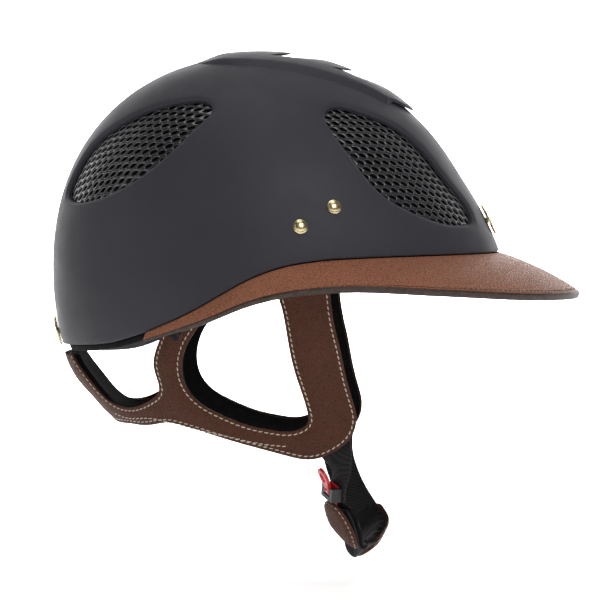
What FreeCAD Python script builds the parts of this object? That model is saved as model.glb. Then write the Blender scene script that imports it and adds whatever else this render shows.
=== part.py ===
import FreeCAD, Part
import math
import os
from FreeCAD import Placement, Rotation, Vector

# Riding helmet, millimetres. +X points to the brim, +Y to the wearer's left, +Z up.
# The origin is the centre of the wearer's head at ear height.

doc = FreeCAD.newDocument("riding_helmet")
sheet = doc.addObject("Spreadsheet::Sheet", "sizes")

SIZES = {
    "half_length": 129.25, "half_width": 106, "crown_rise": 128, "widest_level": 20, "centre_forward": -5,
    "front_extra": 2.75, "egg_share": 0.05, "round_power": 2.1, "power_swing": 0.1,
    "flare_start": 75, "flare_slope": 0.27, "flare_softness": 10,
    "shell_wall": 3, "foam_wall": 17, "foam_gap": 5.7, "pad_thick": 5, "mesh_wall": 0.6,
    "grille_wall": 1, "frame_wall": 1,
    "band_rise": 2.85, "band_floor": 0.65, "band_lift": 0.3, "scale_ramp": 26, "pocket_reach": 13,
    "lip_one": 12, "lip_step": 36.5,
    "brim_reach": 48.5, "brim_fade": 2.3, "brim_cover": 1.2, "brim_board": 2.5, "binding_width": 2,
    "leather_wall": 1.6, "lining_wall": 3.9, "lining_show": 0.8,
    "rivet_head": 4.15, "rivet_dome": 2.3, "rivet_shank": 1.8, "rivet_length": 5.4,
    "washer_radius": 4.5, "washer_thick": 0.6,
    "badge_radius": 10, "badge_thick": 1.6, "badge_rise": 1, "rear_badge_radius": 9.2,
    "anchor_web_width": 12, "anchor_web_thick": 1.1,
    "strap_width": 20, "strap_thick": 1.6, "pad_leather": 1.4, "pad_lining": 3.6,
    "pin_radius": 1.75, "pin_head": 4.5, "anchor_radius": 7,
    "buckle_length": 8.2, "buckle_width": 15, "buckle_depth": 6.5,
    "tongue_width": 9, "tongue_thick": 1, "tongue_length": 13.5, "tooth_pitch": 1.6,
    "lever_width": 7, "lever_thick": 2, "lever_angle": 25,
    "ring_outer": 6, "ring_inner": 3.1, "ring_reach": 10.3, "lever_pin": 1,
}
for row, (name, value) in enumerate(SIZES.items(), start=1):
    sheet.set("A%d" % row, name)
    sheet.set("B%d" % row, str(value))
    sheet.setAlias("B%d" % row, name)
doc.recompute()


def size(name):
    return float(sheet.get(name))


def keep(label, shape):
    """Adds a freeform piece to the document under its own name."""
    piece = doc.addObject("Part::Feature", label)
    piece.Label = label
    piece.Shape = shape
    return piece


def mirrored(shape):
    return shape.mirror(Vector(0, 0, 0), Vector(0, 1, 0))


def eased(points, place):
    """Smooth height between listed (place, height) points, flat beyond both ends."""
    if place <= points[0][0]:
        return points[0][1]
    if place >= points[-1][0]:
        return points[-1][1]
    slopes = [(b[1] - a[1]) / (b[0] - a[0]) for a, b in zip(points[:-1], points[1:])]
    tilts = [slopes[0]] + [(a + b) / 2 for a, b in zip(slopes[:-1], slopes[1:])] + [slopes[-1]]
    index = max(i for i in range(len(points) - 1) if points[i][0] <= place)
    (start, low), (end, high) = points[index], points[index + 1]
    span = end - start
    share = (place - start) / span
    blend = share * share * (3 - 2 * share)
    rise_in = tilts[index] * span * share * (1 - share) ** 2
    rise_out = tilts[index + 1] * span * share * share * (1 - share)
    return low + (high - low) * blend + rise_in - rise_out


# ---------------------------------------------------------------- dome shape

def dome_reach(turn, height, inset):
    """Forward and sideways reach of the dome at one height, `inset` mm inside the shell surface."""
    cosine = math.cos(turn)
    power = size("round_power") - size("power_swing") * cosine
    level = min(1.0, abs(height - size("widest_level")) / (size("crown_rise") - inset))
    share = (1 - level ** power) ** (1 / power)
    drop = size("flare_start") - height
    flare = size("flare_slope") * (drop + math.hypot(drop, size("flare_softness"))) / 2
    flare *= ((1 + cosine) / 2) ** 2
    forward = (size("half_length") - inset + size("front_extra") * cosine) * share + flare
    sideways = (size("half_width") - inset) * (1 - size("egg_share") * cosine) * share + flare
    return forward, sideways


def dome_point(turn, height, inset):
    forward, sideways = dome_reach(turn, height, inset)
    x = size("centre_forward") + forward * math.cos(turn)
    return Vector(x, sideways * math.sin(turn), height)


def dome_solid(inset):
    """Closed solid of the head dome, lofted through level rings from below the rim to the crown."""
    rings = []
    for step in range(14):
        lift = math.radians(-29 + 115 * step / 13)
        height = size("widest_level") + (size("crown_rise") - inset) * math.sin(lift)
        points = [dome_point(math.tau * turn / 28, height, inset) for turn in range(28)]
        ring = Part.BSplineCurve()
        ring.interpolate(points, PeriodicFlag=True)
        rings.append(Part.Wire(ring.toShape()))
    return Part.makeLoft(rings, True)


dome_store = {}


def dome(inset):
    if inset not in dome_store:
        dome_store[inset] = dome_solid(inset)
    return dome_store[inset]


def dome_layer(outer, inner):
    return dome(outer).cut(dome(inner))


# Lower edge of the shell seen from the side: (forward, height).
RIM = [(-150, -27.5), (-112, -25.1), (-93, -22.4), (-73, -16.3), (-59, -10.6), (-41, -2), (-26, 6.6),
       (-9, 16), (10, 23.2), (33, 27.2), (60, 28.8), (100, 29.7), (150, 30)]


def rim_line(shift):
    points = [Vector(x, 0, eased(RIM, x) + shift) for x in range(-150, 151, 12)]
    line = Part.BSplineCurve()
    line.interpolate(points)
    return line.toShape()


def rim_slab(low, high):
    """Everything between two copies of the rim line, moved down or up, right across the helmet."""
    bottom, top = rim_line(low), rim_line(high)
    left = Part.makeLine(bottom.Vertexes[0].Point, top.Vertexes[0].Point)
    right = Part.makeLine(bottom.Vertexes[-1].Point, top.Vertexes[-1].Point)
    face = Part.Face(Part.Wire([bottom, right, top, left]))
    face.translate(Vector(0, -150, 0))
    return face.extrude(Vector(0, 300, 0))


# ---------------------------------------------------------------- windows

# Each window is drawn on a plane that touches the dome at its middle: (along, up) points on the
# wearer's right side; the left side is the mirror image.
FRONT_WINDOW = {
    "centre": Vector(82, -57, 85), "normal": Vector(0.601, -0.633, 0.488),
    "outline": [(-31.7, 41.7), (-38.6, 37.5), (-40, 22.2), (-33.7, 0.3), (-24.5, -18.9), (-4, -34.5),
                (22.6, -41.6), (36, -40.6), (46, -36.5), (46.5, -29), (36.6, -14), (23.6, 6.5), (5.1, 26),
                (-14.8, 36.8)],
}
REAR_WINDOW = {
    "centre": Vector(-83, -62, 96), "normal": Vector(-0.57, -0.632, 0.525),
    "outline": [(37.5, 36), (24.4, 33.8), (3.7, 25.2), (-14.8, 15.3), (-36.9, 1), (-48.6, -16.5),
                (-50.5, -25.5), (-43, -32), (-20.7, -36.3), (3, -31.3), (21.7, -18.6), (34.7, -0.7),
                (43, 21.2), (43.8, 31.5)],
}


def window_prism(window, growth):
    """Straight plug through the wall with the window's outline, grown sideways by `growth` mm."""
    normal = Vector(window["normal"]).normalize()
    along = Vector(0, 0, 1).cross(normal).normalize()
    up = normal.cross(along)
    flat = window["outline"]
    points = []
    for index, (u, v) in enumerate(flat):
        before, after = flat[index - 1], flat[(index + 1) % len(flat)]
        run = Vector(after[0] - before[0], after[1] - before[1], 0).normalize()
        u -= run.y * growth
        v += run.x * growth
        points.append(window["centre"] + along * u + up * v)
    if flat[0][0] < flat[2][0]:
        points.reverse()
    outline = Part.BSplineCurve()
    outline.interpolate(points, PeriodicFlag=True)
    face = Part.Face(Part.Wire(outline.toShape()))
    face.translate(normal * -45)
    return face.extrude(normal * 70)


def outward_growth(window, growth):
    """Growth signed so that a positive number always makes the window larger."""
    flat = window["outline"]
    area = sum(a[0] * b[1] - b[0] * a[1] for a, b in zip(flat, flat[1:] + flat[:1]))
    return window_prism(window, -growth if area > 0 else growth)


windows = {"front": FRONT_WINDOW, "rear": REAR_WINDOW}
plugs = {}
for place, window in windows.items():
    for growth in (-7, 0, 0.6, 5, 6):
        plug = outward_growth(window, growth)
        plugs[place, "right", growth] = plug
        plugs[place, "left", growth] = mirrored(plug)

shell = dome_layer(0, size("shell_wall")).common(rim_slab(0, 200))
for place in windows:
    for side in ("right", "left"):
        shell = shell.cut(plugs[place, side, 0])

frame_outer = size("shell_wall") + 0.1
frame_inner = frame_outer + size("frame_wall")
grille_outer = frame_inner + 0.1
grille_inner = grille_outer + size("grille_wall")
frame_wall = dome_layer(frame_outer, frame_inner)
grille_wall = dome_layer(grille_outer, grille_inner)
for place in windows:
    for side in ("right", "left"):
        ring = frame_wall.common(plugs[place, side, 6]).cut(plugs[place, side, 0.6])
        keep("window_frame_%s_%s" % (place, side), ring)
        sheet_piece = grille_wall.common(plugs[place, side, 5])
        keep("grille_%s_%s" % (place, side), sheet_piece)

# ---------------------------------------------------------------- rivets and the webs they hold

# Rivet places on the wearer's right side, and the strap tops that each web runs down to.
RIVETS = [(22, 47), (41.5, 58.4)]
WEB_ENDS = {"rear": [(22, 47), (-4, 32), (-30, 11), (-50, -8), (-56, -17.5)],
            "front": [(41.5, 58.4), (36.5, 46), (32, 34), (30, 28)]}


def side_turn(forward, height, inset):
    """Direction round the dome whose surface point lies at the given forward place, right side."""
    low, high = -math.pi, 0.0
    for _ in range(40):
        middle = (low + high) / 2
        if dome_point(middle, height, inset).x < forward:
            low = middle
        else:
            high = middle
    return low


def side_point(forward, height, inset):
    return dome_point(side_turn(forward, height, inset), height, inset)


def side_normal(forward, height, inset):
    back = side_point(forward - 1, height, inset)
    front = side_point(forward + 1, height, inset)
    below = side_point(forward, height - 1, inset)
    above = side_point(forward, height + 1, inset)
    return (front - back).cross(above - below).normalize()


def web_solid(ends, width, outer, inner):
    """Flat web lying along the inside of the shell through a few (forward, height) points."""
    sections = []
    for index, (x, z) in enumerate(ends):
        before = side_point(*ends[max(index - 1, 0)], outer)
        after = side_point(*ends[min(index + 1, len(ends) - 1)], outer)
        normal = side_normal(x, z, outer)
        across = (after - before).cross(normal).normalize() * (width / 2)
        point = side_point(x, z, outer)
        deep = point - normal * (inner - outer)
        corners = [point - across, point + across, deep + across, deep - across]
        sections.append(Part.makePolygon(corners + corners[:1]))
    return Part.makeLoft(sections, True)


def rivet_frame(x, z):
    """Placement on the shell surface with its Z axis pointing straight out of the wall."""
    normal = side_normal(x, z, 0)
    return Placement(side_point(x, z, 0), Rotation(Vector(0, 0, 1), normal))


web_outer = size("shell_wall") + 0.5
web_inner = web_outer + size("anchor_web_thick")
webs = {}
for place, ends in WEB_ENDS.items():
    web = web_solid(ends, size("anchor_web_width"), web_outer, web_inner)
    slot = web_solid(ends, size("anchor_web_width") + 1, web_outer - 1.2, web_inner + 0.3)
    for x, z in RIVETS:
        hole = Part.makeCylinder(size("rivet_shank") + 0.1, 16, Vector(0, 0, -9))
        hole.Placement = rivet_frame(x, z)
        web = web.cut(hole)
    webs[place] = (web, slot)
    keep("anchor_web_%s_right" % place, web)
    keep("anchor_web_%s_left" % place, mirrored(web))


def rivet_group(label, make_solid):
    solids = []
    for x, z in RIVETS:
        solid = make_solid()
        solid.Placement = rivet_frame(x, z)
        solids += [solid, mirrored(solid)]
    keep(label, Part.makeCompound(solids))


def rivet_solid():
    """Low domed head on the shell and a shank that passes through shell, web and washer."""
    radius, rise = size("rivet_head"), size("rivet_dome")
    ball = (radius * radius + rise * rise) / (2 * rise)
    head = Part.makeSphere(ball, Vector(0, 0, rise - ball))
    head = head.common(Part.makeCylinder(radius, rise + 1, Vector(0, 0, 0.25)))
    reach = size("rivet_length")
    shank = Part.makeCylinder(size("rivet_shank"), reach + 0.5, Vector(0, 0, -reach))
    return head.fuse(shank)


def washer_solid():
    """Flat washer between the web and the foam."""
    low = -(web_inner + 0.1 + size("washer_thick"))
    disc = Part.makeCylinder(size("washer_radius"), size("washer_thick"), Vector(0, 0, low))
    return disc.cut(Part.makeCylinder(size("rivet_shank") + 0.05, 4, Vector(0, 0, low - 1)))


rivet_group("harness_rivets", rivet_solid)
rivet_group("rivet_washers", washer_solid)

for x, z in RIVETS:
    hole = Part.makeCylinder(size("rivet_shank") + 0.1, 12, Vector(0, 0, -8))
    hole.Placement = rivet_frame(x, z)
    shell = shell.cut(hole).cut(mirrored(hole))

# ---------------------------------------------------------------- badges, front and rear

def badge_frame(height, turn):
    point = dome_point(turn, height, 0)
    slope = dome_point(turn, height + 1, 0) - dome_point(turn, height - 1, 0)
    normal = Vector(slope.z, 0, -slope.x) * math.cos(turn)
    normal.normalize()
    return Placement(point, Rotation(Vector(0, 0, 1), normal))


def badge(label, radius_name, height, turn, lift):
    """Round plate with a domed centre boss, held by one stud through the shell."""
    plate = doc.addObject("Part::Cylinder", label + "_plate")
    plate.setExpression("Radius", "sizes." + radius_name)
    plate.setExpression("Height", "sizes.badge_thick")
    boss = doc.addObject("Part::Cone", label + "_boss")
    boss.setExpression("Radius1", "sizes.%s * 0.72" % radius_name)
    boss.setExpression("Radius2", "sizes.%s * 0.5" % radius_name)
    boss.setExpression("Height", "sizes.badge_rise")
    boss.setExpression("Placement.Base.z", "sizes.badge_thick")
    stud = doc.addObject("Part::Cylinder", label + "_stud")
    stud.setExpression("Radius", "sizes.rivet_shank")
    stud.Height = lift + 3
    stud.Placement.Base = Vector(0, 0, -lift - 3)
    whole = doc.addObject("Part::MultiFuse", label)
    whole.Shapes = [plate, boss, stud]
    whole.Label = label
    place = badge_frame(height, turn)
    place.Base = place.multVec(Vector(0, 0, lift))
    whole.Placement = place
    return place


badge_places = [badge("front_badge", "badge_radius", 48.5, 0, 0.6),
                badge("rear_badge", "rear_badge_radius", -18.4, math.pi, 0.5)]
for place in badge_places:
    hole = Part.makeCylinder(size("rivet_shank") + 0.1, 12, Vector(0, 0, -10))
    hole.Placement = place
    shell = shell.cut(hole)

keep("outer_shell", shell)

# ---------------------------------------------------------------- raised crown band with three scales

# Half width of the band in plan, from its rear end to the front lip: (forward, sideways).
BAND = [(-47, 4), (-45, 10), (-40.6, 20.4), (-25, 34), (-5, 40), (15, 41), (40, 38.5), (61, 33), (76, 28),
        (86, 23)]


def roof_height(x, y, inset):
    """Height of the dome surface above one place in plan."""
    low, high = size("widest_level"), size("widest_level") + size("crown_rise") - inset
    for _ in range(32):
        middle = (low + high) / 2
        turn = math.atan2(y, x - size("centre_forward"))
        for _ in range(4):
            forward, sideways = dome_reach(turn, middle, inset)
            turn = math.atan2(y / sideways, (x - size("centre_forward")) / forward)
        if math.hypot((x - size("centre_forward")) / forward, y / sideways) < 1:
            low = middle
        else:
            high = middle
    return low


def crown_section(x, low, high, half, dip):
    """Closed arch across the crown between two heights above the shell; `dip` thins its two sides."""
    places = [half * step / 5 for step in range(-5, 6)]
    tops = [low + (high - low) * (1 - dip * (y / half) ** 6) for y in places]
    lower, upper = Part.BSplineCurve(), Part.BSplineCurve()
    lower.interpolate([Vector(x, y, roof_height(x, y, -low)) for y in places])
    upper.interpolate([Vector(x, y, roof_height(x, y, -top)) for y, top in zip(places, tops)])
    sides = [Part.makeLine(lower.value(lower.FirstParameter), upper.value(upper.FirstParameter)),
             Part.makeLine(lower.value(lower.LastParameter), upper.value(upper.LastParameter))]
    return Part.Wire([lower.toShape(), sides[1], upper.toShape(), sides[0]])


lips = [size("lip_one") + size("lip_step") * step for step in range(3)]
rise, floor = size("band_rise"), size("band_floor")
starts = [BAND[0][0] + 2] + [lip + 0.2 for lip in lips[:2]]
sections = []
for start, lip in zip(starts, lips):
    for step in range(8):
        x = start + (lip - start) * step / 7
        climb = min(1.0, (x - start) / size("scale_ramp"))
        high = floor + (rise - floor) * math.sin(climb * math.pi / 2)
        sections.append(crown_section(x, size("band_lift"), high, eased(BAND, x), 0.8))
band = Part.makeLoft(sections, True, True)
for lip in lips:
    back = crown_section(lip - size("pocket_reach"), floor + 0.1, floor + 0.25, 9, 0)
    front = crown_section(lip + 0.1, floor + 0.1, rise - 1.0, 17, 0)
    band = band.cut(Part.makeLoft([back, front], True, True))
keep("crown_band", band)

# ---------------------------------------------------------------- foam and comfort liner

foam_outer = size("foam_gap")
foam_inner = foam_outer + size("foam_wall")
foam = dome_layer(foam_outer, foam_inner).common(rim_slab(0.2, 200))
for place in windows:
    for side in ("right", "left"):
        foam = foam.cut(plugs[place, side, -7])
keep("foam_liner", foam)

edge_ring = dome_layer(size("shell_wall") + 0.2, foam_inner).common(rim_slab(-3.7, 0.0))
for place in webs:
    edge_ring = edge_ring.cut(webs[place][1]).cut(mirrored(webs[place][1]))
keep("liner_edge_trim", edge_ring)

mesh_outer = foam_inner + 0.1
mesh_inner = mesh_outer + size("mesh_wall")
keep("liner_mesh", dome_layer(mesh_outer, mesh_inner).common(rim_slab(4, 200)))

pad_outer = mesh_inner + 0.2
pad_inner = pad_outer + size("pad_thick")
keep("headband_pad", dome_layer(pad_outer, pad_inner).common(rim_slab(-1.5, 30)))
crown_disc = Part.makeCylinder(52, 120, Vector(size("centre_forward"), 0, 60))
keep("crown_pad", dome_layer(pad_outer, pad_inner).common(crown_disc))

# ---------------------------------------------------------------- brim

# Height of the brim's outer edge against the direction round the helmet in degrees.
BRIM_EDGE = [(0, 5.4), (28, 6.6), (50, 10.2), (68, 12.4), (81, 9.4), (90, 4), (102, -7.3), (113, -15.4),
             (121, -20.2)]
BRIM_END = 121


def brim_frame(turn):
    """Inner and outer ends of the brim's top line at one direction round the helmet."""
    height = 20
    for _ in range(12):
        height = eased(RIM, dome_point(turn, height, 0).x)
    direction = Vector(math.cos(turn), math.sin(turn), 0)
    inner = dome_point(turn, height - 0.4, 0.4)
    reach = size("brim_reach") * ((1 + math.cos(turn)) / 2) ** size("brim_fade") + 1.2
    outer = inner + direction * reach
    outer.z = eased(BRIM_EDGE, abs(math.degrees(turn)))
    return inner, outer, direction


def brim_point(turn, share, beyond, depth):
    """Point on the brim: `share` of the way out, `beyond` mm past that, `depth` mm under the top."""
    inner, outer, direction = brim_frame(turn)
    run = (outer - inner).normalize()
    down = run.cross(Vector(-direction.y, direction.x, 0)).normalize()
    if down.z > 0:
        down = down * -1
    arch = 4 * share * (1 - share) * (outer - inner).Length * 0.035
    return inner + (outer - inner) * share + run * beyond + down * (depth - arch)


# Half width and rearward reach of the harness against height.
HARNESS_WIDTH = [(-110, 60), (-90, 66), (-70, 73), (-50, 80), (-28, 88), (0, 97), (24, 104), (40, 106)]
HARNESS_BACK = [(-110, 64), (-85, 84), (-75, 92), (-60, 105), (-46, 117), (-31, 123.6), (0, 124), (40, 124)]
# Exponent of the rounded part behind the head; 1 would be an ellipse.
HARNESS_ROUND = 2 / 2.3


def harness_solid(inset):
    """Closed D-shaped tube: straight along both sides, rounded behind the head."""
    rings = []
    for height in range(-105, 36, 14):
        wide = eased(HARNESS_WIDTH, height) - inset
        back = eased(HARNESS_BACK, height) - inset
        points = [Vector(62, -wide, height), Vector(30, -wide, height)]
        for step in range(19):
            angle = math.pi * step / 18
            x = -back * math.sin(angle) ** HARNESS_ROUND
            y = -wide * math.copysign(abs(math.cos(angle)) ** HARNESS_ROUND, math.cos(angle))
            points.append(Vector(x, y, height))
        points += [Vector(30, wide, height), Vector(62, wide, height)]
        arc = Part.BSplineCurve()
        arc.interpolate(points)
        rings.append(Part.Wire([arc.toShape(), Part.makeLine(points[-1], points[0])]))
    return Part.makeLoft(rings, True)


def brim_layer(label, inner_cut, outer_cut, top, bottom):
    """Closed layer of the brim between two depths, from near the shell out to its edge."""
    sections = []
    for step in range(-13, 14):
        turn = math.radians(BRIM_END * step / 13)
        thin = max(0.35, min(1.0, (BRIM_END + 12 - abs(math.degrees(turn))) / 30))
        corners = [brim_point(turn, 0, inner_cut, top * thin), brim_point(turn, 0.5, 0, top * thin),
                   brim_point(turn, 1, outer_cut, top * thin), brim_point(turn, 1, outer_cut, bottom * thin),
                   brim_point(turn, 0.5, 0, bottom * thin), brim_point(turn, 0, inner_cut, bottom * thin)]
        sections.append(Part.makePolygon(corners + corners[:1]))
    layer = Part.makeLoft(sections, True).cut(dome(size("shell_wall") - 0.1))
    keep(label, layer.cut(harness_solid(-0.1)))


cover, board = size("brim_cover"), size("brim_board")
under = cover + board
brim_layer("brim_top_leather", 0, -size("binding_width"), 0, cover - 0.05)
brim_layer("brim_board", 0, -size("binding_width"), cover, under - 0.05)
brim_layer("brim_under_leather", 0, -size("binding_width"), under, under + cover)

edge_sections = []
for step in range(-13, 14):
    turn = math.radians(BRIM_END * step / 13)
    thin = max(0.35, min(1.0, (BRIM_END + 12 - abs(math.degrees(turn))) / 30))
    corners = [brim_point(turn, 1, 0.1 - size("binding_width"), 0), brim_point(turn, 1, 0, 0.4 * thin),
               brim_point(turn, 1, 0, (under + cover - 0.4) * thin),
               brim_point(turn, 1, 0.1 - size("binding_width"), (under + cover) * thin)]
    edge_sections.append(Part.makePolygon(corners + corners[:1]))
keep("brim_edge_binding", Part.makeLoft(edge_sections, True))

# ---------------------------------------------------------------- leather harness

# Side outlines, (forward, height): lower boundary, middle opening and rear opening.
HARNESS_EDGE = [(-110, -72), (-81.7, -72.8), (-71.4, -73), (-60, -70.9), (-47.3, -73), (-18.6, -81.6),
                (9.8, -89.4), (28, -92.2), (40.8, -87.5), (51, -78.5), (54.3, -67.1), (52.2, -57),
                (48.7, -44.2), (45.1, -26.4), (41.4, -10.1), (39.3, 9.9), (39, 34)]
MIDDLE_OPENING = [(-28, 32), (-31, 0), (-37.1, -9.9), (-45.8, -22.8), (-49.3, -35.7), (-47.4, -47.6),
                  (-40.2, -57.2), (-27.5, -64.6), (-11.6, -71), (4.1, -74.4), (18.9, -74.4), (25.2, -70),
                  (25, -63), (17.4, -37.5), (13.4, -16.1), (10.4, 0), (7, 12), (6, 32)]
REAR_OPENING = [(-122, 10), (-120.5, -27), (-107.6, -46.7), (-93.4, -60.4), (-84.2, -62.4), (-70.6, -58),
                (-63.7, -51.2), (-64.2, -46), (-66.5, -36), (-65.2, -27.4), (-62.3, -19.8), (-58, 0),
                (-58, 10)]


def side_prism(points, closed_over, growth):
    """Prism right across the helmet from a smooth side outline, closed by straight lines."""
    grown = []
    for index, (x, z) in enumerate(points):
        before, after = points[max(index - 1, 0)], points[min(index + 1, len(points) - 1)]
        run = Vector(after[0] - before[0], 0, after[1] - before[1]).normalize()
        grown.append(Vector(x + run.z * growth, 0, z - run.x * growth))
    curve = Part.BSplineCurve()
    curve.interpolate(grown)
    corners = [grown[-1]] + [Vector(x, 0, z) for x, z in closed_over] + [grown[0]]
    face = Part.Face(Part.Wire([curve.toShape()] + Part.makePolygon(corners).Edges))
    face.translate(Vector(0, -150, 0))
    return face.extrude(Vector(0, 300, 0))


def harness_layer(outer, inner, growth):
    wall = harness_solid(outer).cut(harness_solid(inner))
    wall = wall.common(side_prism(HARNESS_EDGE, [(39, 60), (-160, 60), (-160, -72)], growth))
    wall = wall.cut(side_prism(MIDDLE_OPENING, [(0, 60), (-20, 60)], growth))
    wall = wall.cut(side_prism(REAR_OPENING, [], growth))
    return wall.common(rim_slab(-120, -4))


leather_wall = size("leather_wall")
lining_inner = leather_wall + 0.1 + size("lining_wall")
keep("harness_leather", harness_layer(0, leather_wall, 0))
keep("harness_lining", harness_layer(leather_wall + 0.1, lining_inner, size("lining_show")))

# ---------------------------------------------------------------- chin strap

# Hanging line of the strap from the right anchor to the left one: centre, width direction, width.
STRAP = [
    ((40, -57.5, -80), (1, 0, 0), 20), ((42, -56.5, -90), (0.92, -0.4, 0), 20),
    ((44, -54, -99), (0.6, -0.8, 0), 20), ((43, -51.5, -109), (0.44, -0.9, 0), 20),
    ((42.5, -49, -118), (0.46, -0.89, 0.02), 20), ((44.5, -46.5, -127), (0.52, -0.85, 0.02), 24),
    ((47.5, -43, -136.5), (0.52, -0.85, -0.05), 24), ((51, -37.5, -144), (0.42, -0.85, -0.1), 18),
    ((55, -28, -149), (0.5, -0.35, 0.4), 14), ((58.5, -15, -149.5), (0.65, -0.3, 0.5), 17),
    ((61, -1, -147), (0.75, -0.3, 0.6), 22), ((61, 14, -141.5), (0.8, -0.3, 0.5), 25),
    ((56, 28, -132), (0.85, -0.3, 0.4), 22), ((48.5, 40, -119.5), (0.9, -0.2, 0.35), 20),
    ((42.7, 49.5, -107), (0.92, -0.2, 0.25), 20), ((39.5, 55, -94), (0.97, -0.1, 0.1), 20),
    ((40, 57.5, -80), (1, 0, 0), 20),
]
strap_line = Part.BSplineCurve()
strap_line.interpolate([Vector(*centre) for centre, width, across in STRAP])
strap_knots = strap_line.getKnots()
width_line = Part.BSplineCurve()
edge_points = [Vector(*centre) + Vector(*width) * 10 for centre, width, across in STRAP]
width_line.interpolate(edge_points, Parameters=strap_knots)
STRAP_WIDTHS = [(knot, across) for knot, (centre, width, across) in zip(strap_knots, STRAP)]


def strap_at(station):
    """Curve value at a place counted in strap stations, such as 3.4."""
    index = min(int(station), len(STRAP) - 2)
    return strap_knots[index] + (strap_knots[index + 1] - strap_knots[index]) * (station - index)


def strap_frame(station):
    """Centre, forward run, width direction and outward face direction at a place on the strap."""
    value = strap_at(station)
    centre = strap_line.value(value)
    run = strap_line.tangent(value)[0]
    width = width_line.value(value) - centre
    width = (width - run * width.dot(run)).normalize()
    return centre, run, width, run.cross(width)


def strap_piece(start, end, steps, extra, outer, inner, tip=0):
    """Band along the strap between two stations.

    `extra` widens it past the strap, `outer` and `inner` are (start, end) distances off the strap's face,
    and `tip` is the length of the rounded stretch at each end in stations.
    """
    sections = []
    for step in range(steps + 1):
        share = step / steps
        station = start + (end - start) * share
        centre, run, width, face = strap_frame(station)
        wide = eased(STRAP_WIDTHS, strap_at(station)) + extra
        near = min(station - start, end - station) / tip if tip else 1
        if near < 1:
            wide *= max(0.4, math.sqrt(1 - (1 - near) ** 2))
        half = width * (wide / 2)
        top = centre + face * (outer[0] + (outer[1] - outer[0]) * share)
        bottom = centre + face * (inner[0] + (inner[1] - inner[0]) * share)
        corners = [top - half, top + half, bottom + half, bottom - half]
        sections.append(Part.makePolygon(corners + corners[:1]))
    return Part.makeLoft(sections, True)


BUCKLE_STATION = 3.37
buckle_centre, buckle_run, buckle_width, buckle_face = strap_frame(BUCKLE_STATION)
# Station where the near web ends, just above the chin pad.
WEB_END = 3.73
strap_half = size("strap_thick") / 2
outer_face, inner_face = (strap_half, strap_half), (-strap_half, -strap_half)
for name, y, inward in (("right", -57.5, 1), ("left", 57.5, -1)):
    eye = Part.makeCylinder(size("pin_radius") + 0.06, 8, Vector(40, y - 4, -80), Vector(0, 1, 0))
    tip = Part.makeCylinder(size("strap_width") / 2, size("strap_thick"), Vector(40, y - strap_half, -80),
                            Vector(0, 1, 0))
    if name == "right":
        run = strap_piece(0, WEB_END, 12, 0, outer_face, inner_face)
    else:
        run = strap_piece(4.5, len(STRAP) - 1, 40, -1, outer_face, inner_face)
    keep("chin_web_" + name, run.fuse(tip).removeSplitter().cut(eye))

    pin = Part.makeCylinder(size("pin_radius"), 5, Vector(40, y - 2.6 * inward, -80), Vector(0, inward, 0))
    head = Part.makeCylinder(size("pin_head"), 1.2, Vector(40, y + 1.5 * inward, -80), Vector(0, inward, 0))
    keep("strap_pin_" + name, pin.fuse(head).removeSplitter())
    block_start = Vector(40, y - 2 * inward, -80)
    block = Part.makeCylinder(size("anchor_radius"), 12, block_start, Vector(0, -inward, 0))
    block = block.common(harness_solid(lining_inner + 0.1))
    socket = Part.makeCylinder(size("pin_radius") + 0.02, 0.7, block_start, Vector(0, -inward, 0))
    keep("strap_anchor_" + name, block.cut(socket))

lining_outer = -strap_half - 0.1
lining_back = lining_outer - size("pad_lining")
keep("chin_pad_lining", strap_piece(3.95, 12.2, 34, 1.6, (lining_outer, lining_outer),
                                    (lining_back, lining_back), 0.5))
over_tongue, on_web = 5.2, strap_half + 0.1
leather = size("pad_leather")
keep("chin_pad_leather_right", strap_piece(3.92, 7.15, 20, 0, (over_tongue + leather, on_web + leather),
                                           (over_tongue, on_web), 0.6))
keep("chin_pad_leather_left", strap_piece(9.0, 12.1, 20, 0, (on_web + leather, on_web + leather),
                                          (on_web, on_web), 0.35))

# ---------------------------------------------------------------- ratchet buckle

# Buckle axes: X across the strap, Y up the strap towards the harness, Z outward from its face.
buckle_turn = Rotation(buckle_width, buckle_run * -1, buckle_face, "XYZ")
buckle_place = Placement(buckle_centre, buckle_turn)
BODY_FLOOR, TONGUE_FLOOR, TEETH = 0.9, 2.0, 0.6
PIVOT_UP, PIVOT_OUT, BARREL = 0.5, 5.7, 1.9
pivot = Vector(0, PIVOT_UP, PIVOT_OUT)


def box(label, width, length, thick, corner):
    """Parametric box in buckle axes; sizes and corner are expressions on the sheet."""
    solid = doc.addObject("Part::Box", label)
    solid.setExpression("Length", width)
    solid.setExpression("Width", length)
    solid.setExpression("Height", thick)
    solid.setExpression("Placement.Base.x", corner[0])
    solid.setExpression("Placement.Base.y", corner[1])
    solid.setExpression("Placement.Base.z", corner[2])
    return solid


def rod(label, radius, length, start, axis):
    solid = doc.addObject("Part::Cylinder", label)
    solid.setExpression("Radius", radius)
    solid.Height = length
    solid.Placement = Placement(start, Rotation(Vector(0, 0, 1), axis))
    return solid


def joined(kind, label, base, others):
    """Cuts or fuses parametric solids into one named piece."""
    if kind == "cut":
        tool = others[0]
        if len(others) > 1:
            tool = doc.addObject("Part::MultiFuse", label + "_tools")
            tool.Shapes = others
        whole = doc.addObject("Part::Cut", label)
        whole.Base, whole.Tool = base, tool
    else:
        whole = doc.addObject("Part::MultiFuse", label)
        whole.Shapes = [base] + others
    whole.Label = label
    return whole


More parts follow.
